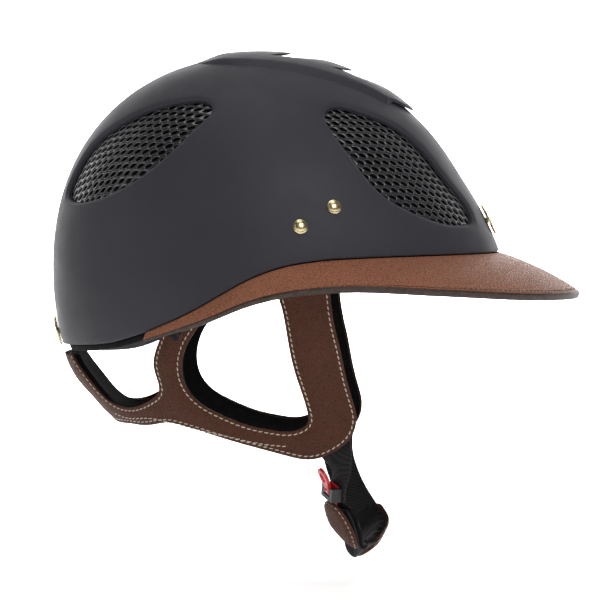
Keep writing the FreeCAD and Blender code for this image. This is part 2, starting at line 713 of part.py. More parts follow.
across = Vector(1, 0, 0)
body_block = box("buckle_block", "sizes.buckle_width", "sizes.buckle_length", "sizes.buckle_depth",
                 ("-sizes.buckle_width / 2", "-sizes.buckle_length / 2", str(BODY_FLOOR)))
channel = box("buckle_channel", "sizes.tongue_width + 0.5", "sizes.buckle_length + 4",
              "sizes.tongue_thick + %s" % (TEETH + 0.6),
              ("-sizes.tongue_width / 2 - 0.25", "-sizes.buckle_length / 2 - 2", str(TONGUE_FLOOR - 0.2)))
lever_room = box("buckle_lever_room", "sizes.lever_width + 1", "sizes.buckle_length", "9",
                 ("-sizes.lever_width / 2 - 0.5", str(PIVOT_UP - BARREL - 0.4), str(TONGUE_FLOOR + 1)))
pin_hole = rod("buckle_pin_hole", "sizes.lever_pin + 0.02", 12.4, pivot - across * 6.2, across)
buckle_body = joined("cut", "buckle_body", body_block, [channel, lever_room, pin_hole])

lever_arm = box("lever_arm", "sizes.lever_width", "sizes.ring_reach - 2", "sizes.lever_thick",
                ("-sizes.lever_width / 2", "0", "-sizes.lever_thick / 2"))
lever_barrel = rod("lever_barrel", str(BARREL), 7, across * -3.5, across)
ring_centre = Vector(0, size("ring_reach"), -1)
lever_ring = rod("lever_ring", "sizes.ring_outer", 2, ring_centre, Vector(0, 0, 1))
lever_whole = joined("fuse", "lever_solid", lever_arm, [lever_barrel, lever_ring])
ring_hole = rod("lever_ring_hole", "sizes.ring_inner", 6, ring_centre - Vector(0, 0, 2), Vector(0, 0, 1))
barrel_hole = rod("lever_barrel_hole", "sizes.lever_pin + 0.06", 20, across * -10, across)
spring_room = box("lever_spring_room", "3", "4.8", "5", ("-1.5", "-2.4", "-2.5"))
buckle_lever = joined("cut", "buckle_lever", lever_whole, [ring_hole, barrel_hole, spring_room])
lever_rest = Placement(pivot, Rotation(across, size("lever_angle")))
buckle_lever.Placement = lever_rest

lever_pin = rod("lever_pin", "sizes.lever_pin", 12, pivot - across * 6, across)
coil_outer = rod("spring_outer", "sizes.lever_pin + 0.7", 2.6, pivot - across * 1.3, across)
coil_inner = rod("spring_inner", "sizes.lever_pin + 0.15", 6, pivot - across * 3, across)
lever_spring = joined("cut", "lever_spring", coil_outer, [coil_inner])

tongue_strip = box("tongue_strip", "sizes.tongue_width", "sizes.tongue_length", "sizes.tongue_thick",
                   ("-sizes.tongue_width / 2", "-8.5", str(TONGUE_FLOOR)))
teeth = []
for index in range(7):
    tooth = doc.addObject("Part::Wedge", "tongue_tooth_%d" % index)
    tooth.Xmin, tooth.Xmax, tooth.Ymin, tooth.Ymax, tooth.Zmin, tooth.Zmax = 0, 6.4, 0, TEETH + 0.05, 0, 1.4
    tooth.X2min, tooth.X2max, tooth.Z2min, tooth.Z2max = 0, 6.4, 1, 1.4
    tooth.Placement = Placement(Vector(3.2, -6.4 + index * size("tooth_pitch"), TONGUE_FLOOR + 0.95),
                                Rotation(Vector(-1, 0, 0), Vector(0, 0, 1), Vector(0, 1, 0), "XYZ"))
    teeth.append(tooth)
ratchet_tongue = joined("fuse", "ratchet_tongue", tongue_strip, teeth)

for piece in (buckle_body, buckle_lever, lever_pin, lever_spring, ratchet_tongue):
    piece.Placement = buckle_place.multiply(piece.Placement)

doc.recompute()

# ---------------------------------------------------------------- check and write every piece

used = set()
for thing in doc.Objects:
    for child in thing.OutList:
        used.add(child.Name)
pieces = [thing for thing in doc.Objects if hasattr(thing, "Shape") and thing.Name not in used]
os.makedirs("parts", exist_ok=True)
for thing in doc.Objects:
    if "Invalid" in thing.State or "Error" in thing.State:
        raise RuntimeError("bad feature " + thing.Label)
for piece in pieces:
    if piece.Shape.isNull() or not piece.Shape.isValid() or piece.Shape.Volume <= 0:
        raise RuntimeError("bad shape " + piece.Label)
    piece.Shape.exportStep("parts/%s.step" % piece.Label)
    print(piece.Label, len(piece.Shape.Solids), round(piece.Shape.Volume))
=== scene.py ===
import math
import random

import bmesh
import bpy
from mathutils import Matrix, Vector, geometry, kdtree


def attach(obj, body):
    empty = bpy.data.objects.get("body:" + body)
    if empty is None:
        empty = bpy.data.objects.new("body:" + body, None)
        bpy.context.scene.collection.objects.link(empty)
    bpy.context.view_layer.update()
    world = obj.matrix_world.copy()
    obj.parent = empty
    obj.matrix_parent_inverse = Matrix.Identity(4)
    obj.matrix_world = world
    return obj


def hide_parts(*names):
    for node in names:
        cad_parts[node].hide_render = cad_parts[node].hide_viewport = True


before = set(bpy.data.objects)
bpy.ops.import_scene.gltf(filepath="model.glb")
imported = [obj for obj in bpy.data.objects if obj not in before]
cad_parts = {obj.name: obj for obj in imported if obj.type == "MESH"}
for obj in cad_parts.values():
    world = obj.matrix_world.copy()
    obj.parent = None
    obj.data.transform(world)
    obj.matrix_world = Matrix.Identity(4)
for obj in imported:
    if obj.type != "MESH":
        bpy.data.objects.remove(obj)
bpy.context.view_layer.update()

random.seed(7)
MM = 0.001
for leftover in ("Cube", "Light", "Camera"):
    if leftover in bpy.data.objects:
        bpy.data.objects.remove(bpy.data.objects[leftover])

# ------------------------------------------------------------------ small geometry tools (all lengths in mm)


def eased(points, place):
    """Smooth height between listed (place, height) points, flat beyond both ends."""
    if place <= points[0][0]:
        return points[0][1]
    if place >= points[-1][0]:
        return points[-1][1]
    slopes = [(b[1] - a[1]) / (b[0] - a[0]) for a, b in zip(points[:-1], points[1:])]
    tilts = [slopes[0]] + [(a + b) / 2 for a, b in zip(slopes[:-1], slopes[1:])] + [slopes[-1]]
    index = max(i for i in range(len(points) - 1) if points[i][0] <= place)
    (start, low), (end, high) = points[index], points[index + 1]
    span = end - start
    share = (place - start) / span
    blend = share * share * (3 - 2 * share)
    rise_in = tilts[index] * span * share * (1 - share) ** 2
    rise_out = tilts[index + 1] * span * share * share * (1 - share)
    return low + (high - low) * blend + rise_in - rise_out


def smooth(low, high, value):
    share = min(1.0, max(0.0, (value - low) / (high - low)))
    return share * share * (3 - 2 * share)


class Spline:
    """Natural cubic curve through points, measured by the distance between them."""

    def __init__(self, points, closed=False, knots=None):
        points = [Vector(p) for p in points]
        self.closed = closed
        lead = 0
        if closed:
            lead = min(4, len(points))
            points = points[-lead:] + points + points[:lead + 1]
        self.knots = [0.0]
        for a, b in zip(points[:-1], points[1:]):
            self.knots.append(self.knots[-1] + (b - a).length)
        self.knots = knots or self.knots
        self.points = points
        self.start = self.knots[lead]
        self.end = self.knots[len(points) - 1 - lead] if closed else self.knots[-1]
        size = len(points)
        step = [b - a for a, b in zip(self.knots[:-1], self.knots[1:])]
        low = [0.0] * size
        right = [Vector(points[0]) * 0 for _ in range(size)]
        for i in range(1, size - 1):
            change = (points[i + 1] - points[i]) / step[i] - (points[i] - points[i - 1]) / step[i - 1]
            weight = 2 * (step[i - 1] + step[i]) - step[i - 1] * low[i - 1]
            low[i] = step[i] / weight
            right[i] = (change * 6 - right[i - 1] * step[i - 1]) / weight
        self.bend = [Vector(points[0]) * 0 for _ in range(size)]
        for i in range(size - 2, 0, -1):
            self.bend[i] = right[i] - self.bend[i + 1] * low[i]
        self.step = step

    def at(self, value):
        index = 0
        high = len(self.knots) - 2
        while index < high:
            middle = (index + high + 1) // 2
            if self.knots[middle] <= value:
                index = middle
            else:
                high = middle - 1
        gap = self.step[index]
        b = (value - self.knots[index]) / gap
        a = 1 - b
        curve = self.bend[index] * (a ** 3 - a) + self.bend[index + 1] * (b ** 3 - b)
        return self.points[index] * a + self.points[index + 1] * b + curve * (gap * gap / 6)

    def even(self, spacing):
        """Points about `spacing` mm apart from the start to the end."""
        fine = [self.at(self.start + (self.end - self.start) * i / 600) for i in range(601)]
        return resample(fine, spacing, self.closed)


def resample(points, spacing, closed=False):
    lengths = [0.0]
    for a, b in zip(points[:-1], points[1:]):
        lengths.append(lengths[-1] + (b - a).length)
    count = max(2, round(lengths[-1] / spacing))
    result, index = [], 0
    for step in range(count if closed else count + 1):
        goal = lengths[-1] * step / count
        while index < len(points) - 2 and lengths[index + 1] < goal:
            index += 1
        gap = lengths[index + 1] - lengths[index]
        share = (goal - lengths[index]) / gap if gap else 0
        result.append(points[index].lerp(points[index + 1], share))
    return result


def inside(polygon, x, y):
    hit = False
    j = len(polygon) - 1
    for i in range(len(polygon)):
        xi, yi = polygon[i][0], polygon[i][1]
        xj, yj = polygon[j][0], polygon[j][1]
        if (yi > y) != (yj > y) and x < (xj - xi) * (y - yi) / (yj - yi) + xi:
            hit = not hit
        j = i
    return hit


# ------------------------------------------------------------------ mesh tools


def piece(name, verts, faces, mat, body="helmet", stands_for=(), sharp=None, flat=False):
    """Makes a mesh object from millimetre points, gives it its material and rides it on a body."""
    mesh = bpy.data.meshes.new(name)
    mesh.from_pydata([Vector(v) * MM for v in verts], [], faces)
    mesh.validate()
    work = bmesh.new()
    work.from_mesh(mesh)
    bmesh.ops.remove_doubles(work, verts=work.verts, dist=1e-7)
    bmesh.ops.recalc_face_normals(work, faces=work.faces)
    work.to_mesh(mesh)
    work.free()
    mesh.polygons.foreach_set("use_smooth", [not flat] * len(mesh.polygons))
    if sharp:
        mesh.set_sharp_from_angle(angle=math.radians(sharp))
    obj = bpy.data.objects.new(name, mesh)
    bpy.context.scene.collection.objects.link(obj)
    mesh.materials.append(mat)
    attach(obj, body)
    if stands_for:
        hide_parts(*stands_for)
    return obj


def loft(sections, closed_section=True, caps=True, closed_loop=False):
    """Vertices and faces of a skin through sections that all have the same number of points."""
    width = len(sections[0])
    verts = [p for section in sections for p in section]
    faces = []
    rows = len(sections)
    for i in range(rows if closed_loop else rows - 1):
        for j in range(width if closed_section else width - 1):
            a, b = i * width + j, i * width + (j + 1) % width
            c, d = ((i + 1) % rows) * width + (j + 1) % width, ((i + 1) % rows) * width + j
            faces.append((a, b, c, d))
    if caps and closed_section and not closed_loop:
        faces.append(tuple(range(width))[::-1])
        faces.append(tuple(range((rows - 1) * width, rows * width)))
    return verts, faces


def merge(parts):
    verts, faces = [], []
    for more_verts, more_faces in parts:
        base = len(verts)
        verts += more_verts
        faces += [tuple(i + base for i in face) for face in more_faces]
    return verts, faces


def modifier(obj, kind, **values):
    mod = obj.modifiers.new(kind.lower(), kind)
    for key, value in values.items():
        setattr(mod, key, value)
    return mod


def lathe(profile, place, segments=48):
    """Skin turned about the local Z axis of `place` from (radius, height) points."""
    sections = []
    for i in range(segments):
        angle = math.tau * i / segments
        sections.append([place @ Vector((r * math.cos(angle), r * math.sin(angle), z)) for r, z in profile])
    return loft(sections, closed_section=False, closed_loop=True)


def finish_node(name, material):
    """Gives a kept CAD node its material."""
    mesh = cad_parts[name].data
    mesh.materials.clear()
    mesh.materials.append(material)


def frame_at(point, normal, up=Vector((0, 0, 1))):
    """Matrix whose Z axis is the normal and whose X axis is level."""
    z = Vector(normal).normalized()
    x = up.cross(z).normalized()
    y = z.cross(x)
    place = Matrix((x, y, z)).transposed().to_4x4()
    place.translation = point
    return place


# ------------------------------------------------------------------ materials


def new_material(name):
    mat = bpy.data.materials.new(name)
    mat.use_nodes = True
    tree = mat.node_tree
    shader = tree.nodes["Principled BSDF"]
    coord = tree.nodes.new("ShaderNodeTexCoord")
    return mat, tree, shader, coord.outputs["Object"]


def node(tree, kind, links=(), **values):
    made = tree.nodes.new("ShaderNode" + kind)
    for key, value in values.items():
        if key.startswith("in_"):
            made.inputs[key[3:].replace("_", " ")].default_value = value
        else:
            setattr(made, key, value)
    for socket, source in links:
        tree.links.new(source, made.inputs[socket])
    return made


def ramp(tree, source, stops):
    made = node(tree, "ValToRGB", [("Fac", source)])
    elements = made.color_ramp.elements
    while len(elements) < len(stops):
        elements.new(0.5)
    for element, (place, colour) in zip(elements, stops):
        element.position = place
        element.color = (*colour, 1) if len(colour) == 3 else colour
    return made.outputs["Color"]


def grey(value):
    return (value, value, value)


def scaled(colour, factor):
    return tuple(min(1.0, c * factor) for c in colour)


def set_shader(shader, rough, metal=0.0, spec=0.5, sheen=0.0, coat=0.0, coat_rough=0.2):
    shader.inputs["Roughness"].default_value = rough
    shader.inputs["Metallic"].default_value = metal
    shader.inputs["Specular IOR Level"].default_value = spec
    shader.inputs["Sheen Weight"].default_value = sheen
    shader.inputs["Coat Weight"].default_value = coat
    shader.inputs["Coat Roughness"].default_value = coat_rough


def bump(tree, shader, height, strength, distance):
    made = node(tree, "Bump", [("Height", height)], in_Strength=strength, in_Distance=distance)
    tree.links.new(made.outputs["Normal"], shader.inputs["Normal"])
    return made


def mix_colour(tree, fac, a, b, mode="MIX"):
    made = node(tree, "Mix", data_type="RGBA", blend_type=mode)
    for index, value in ((0, fac), (6, a), (7, b)):
        if isinstance(value, (int, float)):
            made.inputs[index].default_value = value
        elif isinstance(value, tuple):
            made.inputs[index].default_value = (*value, 1)
        else:
            tree.links.new(value, made.inputs[index])
    return made.outputs[2]


def math_node(tree, operation, a, b=None):
    made = node(tree, "Math", operation=operation)
    for index, value in ((0, a), (1, b)):
        if value is None:
            continue
        if isinstance(value, (int, float)):
            made.inputs[index].default_value = value
        else:
            tree.links.new(value, made.inputs[index])
    return made.outputs[0]


def noise_value(tree, coord, scale, detail=3, rough=0.5):
    return node(tree, "TexNoise", [("Vector", coord)], in_Scale=scale, in_Detail=detail,
                in_Roughness=rough).outputs["Fac"]


def shell_material():
    """Matt soft-touch charcoal with a very fine orange-peel and faint handling marks."""
    mat, tree, shader, coord = new_material("matt_shell")
    broad = noise_value(tree, coord, 14, 3)
    fine = noise_value(tree, coord, 2600, 2)
    tint = ramp(tree, broad, [(0.3, (0.027, 0.0262, 0.0335)), (0.7, (0.033, 0.0322, 0.041))])
    tree.links.new(tint, shader.inputs["Base Color"])
    rub = ramp(tree, noise_value(tree, coord, 60, 5), [(0.35, grey(0.52)), (0.7, grey(0.60))])
    tree.links.new(rub, shader.inputs["Roughness"])
    set_shader(shader, 0.56, spec=0.24, sheen=0.05)
    shader.inputs["Sheen Roughness"].default_value = 0.6
    bump(tree, shader, fine, 0.10, 0.00006)
    return mat


def leather_material(name, base, crease, cell, gloss):
    """Pebbled leather: raised round grains between darker creases, with mottled dye."""
    mat, tree, shader, coord = new_material(name)
    warp = node(tree, "TexNoise", [("Vector", coord)], in_Scale=260, in_Detail=2)
    shift = node(tree, "VectorMath", [(0, warp.outputs["Color"])], operation="SCALE", in_Scale=0.0022)
    moved = node(tree, "VectorMath", [(0, coord), (1, shift.outputs[0])], operation="ADD").outputs[0]
    edges = node(tree, "TexVoronoi", [("Vector", moved)], feature="DISTANCE_TO_EDGE", in_Scale=1000 / cell)
    small = node(tree, "TexVoronoi", [("Vector", moved)], feature="DISTANCE_TO_EDGE", in_Scale=2300 / cell)
    grain = ramp(tree, edges.outputs["Distance"], [(0.0, grey(0.0)), (0.10, grey(0.55)), (0.34, grey(1.0))])
    pore = ramp(tree, small.outputs["Distance"], [(0.0, grey(0.0)), (0.2, grey(1.0))])
    height = mix_colour(tree, 0.22, grain, pore)
    broad = noise_value(tree, coord, 22, 4)
    middle = noise_value(tree, coord, 140, 3)
    dye = ramp(tree, broad, [(0.3, scaled(base, 0.88)), (0.7, scaled(base, 1.12))])
    patch = ramp(tree, middle, [(0.35, grey(0.0)), (0.7, grey(0.35))])
    dye = mix_colour(tree, patch, dye, scaled(base, 1.18))
    colour = mix_colour(tree, ramp(tree, grain, [(0.0, grey(0.75)), (0.5, grey(0.0))]), dye, crease)
    tree.links.new(colour, shader.inputs["Base Color"])
    shine = ramp(tree, grain, [(0.0, grey(gloss + 0.22)), (1.0, grey(gloss))])
    tree.links.new(shine, shader.inputs["Roughness"])
    set_shader(shader, gloss, spec=0.3)
    bump(tree, shader, height, 1.0, 0.0006)
    return mat


def edge_material():
    """Painted and burnished leather edge."""
    mat, tree, shader, coord = new_material("burnished_edge")
    streak = noise_value(tree, coord, 420, 4)
    tint = ramp(tree, streak, [(0.3, (0.020, 0.011, 0.008)), (0.75, (0.055, 0.030, 0.020))])
    tree.links.new(tint, shader.inputs["Base Color"])
    set_shader(shader, 0.5, spec=0.4)
    bump(tree, shader, streak, 0.25, 0.0001)
    return mat


def thread_material(name="cream_thread", base=(0.60, 0.52, 0.42)):
    """Twisted waxed thread."""
    mat, tree, shader, coord = new_material(name)
    twist = node(tree, "TexNoise", [("Vector", coord)], in_Scale=3200, in_Detail=2).outputs["Fac"]
    tint = ramp(tree, twist, [(0.3, scaled(base, 0.72)), (0.7, scaled(base, 1.15))])
    tree.links.new(tint, shader.inputs["Base Color"])
    set_shader(shader, 0.62, spec=0.35, sheen=0.3)
    bump(tree, shader, twist, 0.4, 0.00008)
    return mat


def fabric_material(name, base, scale=1500):
    """Close knitted lining: small loops in rows, with a soft nap."""
    mat, tree, shader, coord = new_material(name)
    loops = node(tree, "TexVoronoi", [("Vector", coord)], feature="F1", in_Scale=scale, in_Randomness=0.35)
    nap = noise_value(tree, coord, 420, 4)
    tint = ramp(tree, loops.outputs["Distance"], [(0.0, scaled(base, 1.5)), (0.6, scaled(base, 0.5))])
    tint = mix_colour(tree, ramp(tree, nap, [(0.4, grey(0.0)), (0.75, grey(0.5))]), tint, scaled(base, 1.9))
    tree.links.new(tint, shader.inputs["Base Color"])
    set_shader(shader, 0.92, spec=0.10, sheen=0.05)
    shader.inputs["Sheen Roughness"].default_value = 0.5
    inverse = math_node(tree, "SUBTRACT", 1.0, loops.outputs["Distance"])
    bump(tree, shader, inverse, 0.5, 0.0003)
    return mat


def webbing_material():
    """Woven polyester webbing: a fine herringbone of ribs."""
    mat, tree, shader, coord = new_material("black_webbing")
    weave = node(tree, "TexWave", [("Vector", coord)], wave_type="BANDS", bands_direction="DIAGONAL",
                 in_Scale=210, in_Distortion=1.2, in_Detail=2)
    cross = node(tree, "TexWave", [("Vector", coord)], wave_type="BANDS", bands_direction="Z",
                 in_Scale=330, in_Distortion=0.6, in_Detail=1)
    height = mix_colour(tree, 0.5, weave.outputs["Color"], cross.outputs["Color"])
    tint = ramp(tree, height, [(0.1, (0.006, 0.006, 0.0065)), (0.9, (0.024, 0.024, 0.027))])
    tree.links.new(tint, shader.inputs["Base Color"])
    set_shader(shader, 0.75, spec=0.18, sheen=0.04)
    bump(tree, shader, height, 0.6, 0.0003)
    return mat


def metal_material(name, base, rough, dirt=0.35):
    """Polished metal with faint brushing and darker tarnish in patches."""
    mat, tree, shader, coord = new_material(name)
    patch = noise_value(tree, coord, 240, 4)
    tint = ramp(tree, patch, [(0.3, scaled(base, 1 - dirt)), (0.62, base)])
    tree.links.new(tint, shader.inputs["Base Color"])
    shine = ramp(tree, noise_value(tree, coord, 900, 3), [(0.3, grey(rough)), (0.7, grey(rough + 0.12))])
    tree.links.new(shine, shader.inputs["Roughness"])
    set_shader(shader, rough, metal=1.0)
    bump(tree, shader, patch, 0.08, 0.00005)
    return mat


def plastic_material(name, base, rough, grainy=0.2, coat=0.0):
    """Moulded plastic with a fine spark-eroded texture and a slightly uneven surface."""
    mat, tree, shader, coord = new_material(name)
    broad = noise_value(tree, coord, 90, 3)
    fine = noise_value(tree, coord, 3000, 2)
    tint = ramp(tree, broad, [(0.3, scaled(base, 0.85)), (0.7, scaled(base, 1.15))])
    tree.links.new(tint, shader.inputs["Base Color"])
    shine = ramp(tree, broad, [(0.3, grey(rough)), (0.75, grey(rough + 0.1))])
    tree.links.new(shine, shader.inputs["Roughness"])
    set_shader(shader, rough, spec=0.5, coat=coat, coat_rough=0.15)
    bump(tree, shader, fine, grainy, 0.00005)
    return mat


def foam_material():
    """Expanded foam: fused beads a few millimetres across."""
    mat, tree, shader, coord = new_material("bead_foam")
    beads = node(tree, "TexVoronoi", [("Vector", coord)], feature="DISTANCE_TO_EDGE", in_Scale=330)
    tint = ramp(tree, beads.outputs["Distance"], [(0.0, grey(0.004)), (0.12, grey(0.010))])
    tree.links.new(tint, shader.inputs["Base Color"])
    set_shader(shader, 0.8, spec=0.3)
    bump(tree, shader, beads.outputs["Distance"], 0.5, 0.0004)
    return mat


BRIM_LEATHER = leather_material("brim_leather", (0.335, 0.128, 0.066), (0.115, 0.038, 0.018), 1.8, 0.42)
# Same pebbled leather as the brim, coloured much darker: the dark tone is partly the leather's own and partly
# painted shade for the upright faces that the top light leaves dim.
SHADE_DARKENED_LEATHER = leather_material("harness_leather", (0.088, 0.026, 0.010), (0.026, 0.008, 0.004), 1.5, 0.5)
SHELL = shell_material()
EDGE = edge_material()
THREAD = thread_material()
LINING = fabric_material("black_lining", (0.0075, 0.0075, 0.0085))
WEBBING = webbing_material()
BRASS = metal_material("pale_brass", (0.83, 0.69, 0.40), 0.20)
STEEL = metal_material("plain_steel", (0.55, 0.55, 0.56), 0.3)
NET = plastic_material("net_coating", (0.020, 0.020, 0.023), 0.16, 0.1, coat=0.9)
RED = plastic_material("red_plastic", (0.56, 0.022, 0.030), 0.32)
BLACK = plastic_material("black_plastic", (0.017, 0.017, 0.019), 0.42, 0.35)
BOARD = plastic_material("brim_board_plastic", (0.05, 0.045, 0.04), 0.6)
FOAM = foam_material()
# Fabric for the liner mesh, a real lining part, coloured near-black and darker than the lining: partly its
# own black, partly painted shade for the dark interior seen through the window nets.
SHADE_DARK_LINER_FABRIC = fabric_material("liner_fabric_painted_shade", (0.0035, 0.0035, 0.004), 700)

# ------------------------------------------------------------------ dome of the shell

HALF_LENGTH, HALF_WIDTH, CROWN_RISE = 129.25, 106.0, 128.0
LEVEL, CENTRE_X = 20.0, -5.0
ROUND_POWER, POWER_SWING, FRONT_EXTRA, EGG = 2.1, 0.1, 2.75, 0.05
FLARE_START, FLARE_SLOPE, FLARE_SOFT = 75.0, 0.27, 10.0

RIM = [(-150, -27.5), (-112, -25.1), (-93, -22.4), (-73, -16.3), (-59, -10.6), (-41, -2), (-26, 6.6),
       (-9, 16), (10, 23.2), (33, 27.2), (60, 28.8), (100, 29.7), (150, 30)]


def dome_reach(turn, height, inset):
    cosine = math.cos(turn)
    power = ROUND_POWER - POWER_SWING * cosine
    level = min(1.0, abs(height - LEVEL) / (CROWN_RISE - inset))
    share = (1 - level ** power) ** (1 / power)
    drop = FLARE_START - height
    flare = FLARE_SLOPE * (drop + math.hypot(drop, FLARE_SOFT)) / 2 * ((1 + cosine) / 2) ** 2
    forward = (HALF_LENGTH - inset + FRONT_EXTRA * cosine) * share + flare
    sideways = (HALF_WIDTH - inset) * (1 - EGG * cosine) * share + flare
    return forward, sideways


def dome_point(turn, height, inset=0.0):
    forward, sideways = dome_reach(turn, height, inset)
    return Vector((CENTRE_X + forward * math.cos(turn), sideways * math.sin(turn), height))


def turn_of(x, y, height, inset=0.0):
    """Direction round the dome that passes through a place, and how far out it is (1 = on the dome)."""
    turn = math.atan2(y, x - CENTRE_X)
    forward, sideways = dome_reach(turn, height, inset)
    for _ in range(5):
        turn = math.atan2(y / max(sideways, 1e-6), (x - CENTRE_X) / max(forward, 1e-6))
        forward, sideways = dome_reach(turn, height, inset)
    return turn, math.hypot((x - CENTRE_X) / max(forward, 1e-6), y / max(sideways, 1e-6))


def dome_normal(turn, height, inset=0.0):
    across = dome_point(turn + 0.01, height, inset) - dome_point(turn - 0.01, height, inset)
    top = LEVEL + CROWN_RISE - inset
    rise = dome_point(turn, min(height + 0.5, top), inset) - dome_point(turn, height - 0.5, inset)
    return across.cross(rise).normalized()


def rim_height(turn, inset=0.0):
    height = 20.0
    for _ in range(12):
        height = eased(RIM, dome_point(turn, height, inset).x)
    return height


def roof(x, y, inset=0.0):
    """Point of the dome above a place in plan."""
    low, high = LEVEL, LEVEL + CROWN_RISE - inset
    for _ in range(26):
        middle = (low + high) / 2
        if turn_of(x, y, middle, inset)[1] < 1:
            low = middle
        else:
            high = middle
    return Vector((x, y, low))


def roof_normal(x, y):
    dx = roof(x + 1.5, y) - roof(x - 1.5, y)
    dy = roof(x, y + 1.5) - roof(x, y - 1.5)
    return dx.cross(dy).normalized()


FRONT_WINDOW = {
    "centre": Vector((82, -57, 85)), "normal": Vector((0.601, -0.633, 0.488)).normalized(),
    "outline": [(-31.7, 41.7), (-38.6, 37.5), (-40, 22.2), (-33.7, 0.3), (-24.5, -18.9), (-4, -34.5),
                (22.6, -41.6), (36, -40.6), (46, -36.5), (46.5, -29), (36.6, -14), (23.6, 6.5), (5.1, 26),
                (-14.8, 36.8)],
    "cell": (Vector((5.7, -0.55)), Vector((2.7, -4.9))),
}
REAR_WINDOW = {
    "centre": Vector((-83, -62, 96)), "normal": Vector((-0.57, -0.632, 0.525)).normalized(),
    "outline": [(37.5, 36), (24.4, 33.8), (3.7, 25.2), (-14.8, 15.3), (-36.9, 1), (-48.6, -16.5),
                (-50.5, -25.5), (-43, -32), (-20.7, -36.3), (3, -31.3), (21.7, -18.6), (34.7, -0.7),
                (43, 21.2), (43.8, 31.5)],
    "cell": (Vector((5.7, 0.45)), Vector((-2.7, -4.9))),
}
WINDOWS = {"front": FRONT_WINDOW, "rear": REAR_WINDOW}
for window in WINDOWS.values():
    window["along"] = Vector((0, 0, 1)).cross(window["normal"]).normalized()
    window["up"] = window["normal"].cross(window["along"])
    loop = Spline([Vector((u, v, 0)) for u, v in window["outline"]], closed=True).even(2.0)
    area = sum(a.x * b.y - b.x * a.y for a, b in zip(loop, loop[1:] + loop[:1]))
    if area < 0:
        loop.reverse()
    window["loop"] = loop


def grown(loop, growth):
    """Anticlockwise flat loop moved outwards."""
    result = []
    for index, point in enumerate(loop):
        run = (loop[(index + 1) % len(loop)] - loop[index - 1]).normalized()
        result.append(point + Vector((run.y, -run.x, 0)) * growth)
    return result


def on_dome(window, u, v, inset, left=False):
    """Point of the dome (at an inset) that a flat window point looks straight onto."""
    base = window["centre"] + window["along"] * u + window["up"] * v
    low, high = -45.0, 25.0
    for _ in range(22):
        middle = (low + high) / 2
        p = base + window["normal"] * middle
        if turn_of(p.x, p.y, p.z, inset)[1] < 1:
            low = middle
        else:
            high = middle
    p = base + window["normal"] * low
    return Vector((p.x, -p.y, p.z)) if left else p


ARC = CROWN_RISE * math.pi / 180


def to_map(point):
    """Flat map of the dome: angle is the direction round it, radius the way down from the crown."""
    turn = turn_of(point.x, point.y, point.z)[0]
    lift = math.degrees(math.asin(max(-1, min(1, (point.z - LEVEL) / CROWN_RISE))))
    radius = (90 - lift) * ARC
    return Vector((radius * math.cos(turn), radius * math.sin(turn)))


def from_map(flat, inset):
    lift = math.radians(90 - flat.length / ARC)
    height = LEVEL + (CROWN_RISE - inset) * math.sin(lift)
    return dome_point(math.atan2(flat.y, flat.x), height, inset)


def dome_skin(loops, rim, spacing, inset):
    """Triangles over the dome map inside the rim and outside the window loops, as 3-D points."""
    loop_points = [p for loop in loops for p in loop] + rim
    solid = [from_map(p, 0) for p in loop_points]
    tree = kdtree.KDTree(len(solid))
    for index, p in enumerate(solid):
        tree.insert(p, index)
    tree.balance()
    boxes = []
    for loop in loops:
        across, up = [p.x for p in loop], [p.y for p in loop]
        boxes.append((min(across), max(across), min(up), max(up), loop))
    free = [Vector((0, 0))]
    rings = int(115 * ARC / spacing)
    for ring in range(1, rings):
        lift = 90 - ring * spacing / ARC
        height = LEVEL + CROWN_RISE * math.sin(math.radians(lift))
        forward, sideways = dome_reach(math.pi / 2, height, 0)
        count = max(6, int(math.pi * (forward + sideways) / spacing))
        for step in range(count):
            turn = math.tau * (step + 0.5 * (ring % 2)) / count
            flat = Vector((ring * spacing * math.cos(turn), ring * spacing * math.sin(turn)))
            near = tree.find(from_map(flat, 0))[2]
            if near < spacing * 0.6:
                continue
            if near > 6 and dome_point(turn, height).z < rim_height(turn):
                continue
            if near <= 6 and not inside(rim, flat.x, flat.y):
                continue
            if any(lx < flat.x < hx and ly < flat.y < hy and inside(loop, flat.x, flat.y)
                   for lx, hx, ly, hy, loop in boxes):
                continue
            free.append(flat)
    points = loop_points + free
    edges, base = [], 0
    for loop in loops + [rim]:
        edges += [(base + i, base + (i + 1) % len(loop)) for i in range(len(loop))]
        base += len(loop)
    out, _, faces, _, _, _ = geometry.delaunay_2d_cdt(points, edges, [], 0, 1e-6)
    kept = []
    for face in faces:
        middle = sum((out[i] for i in face), Vector((0, 0))) / len(face)
        if not inside(rim, middle.x, middle.y):
            continue
        if any(lx < middle.x < hx and ly < middle.y < hy and inside(loop, middle.x, middle.y)
               for lx, hx, ly, hy, loop in boxes):
            continue
        kept.append(tuple(face))
    return [from_map(p, inset) for p in out], kept


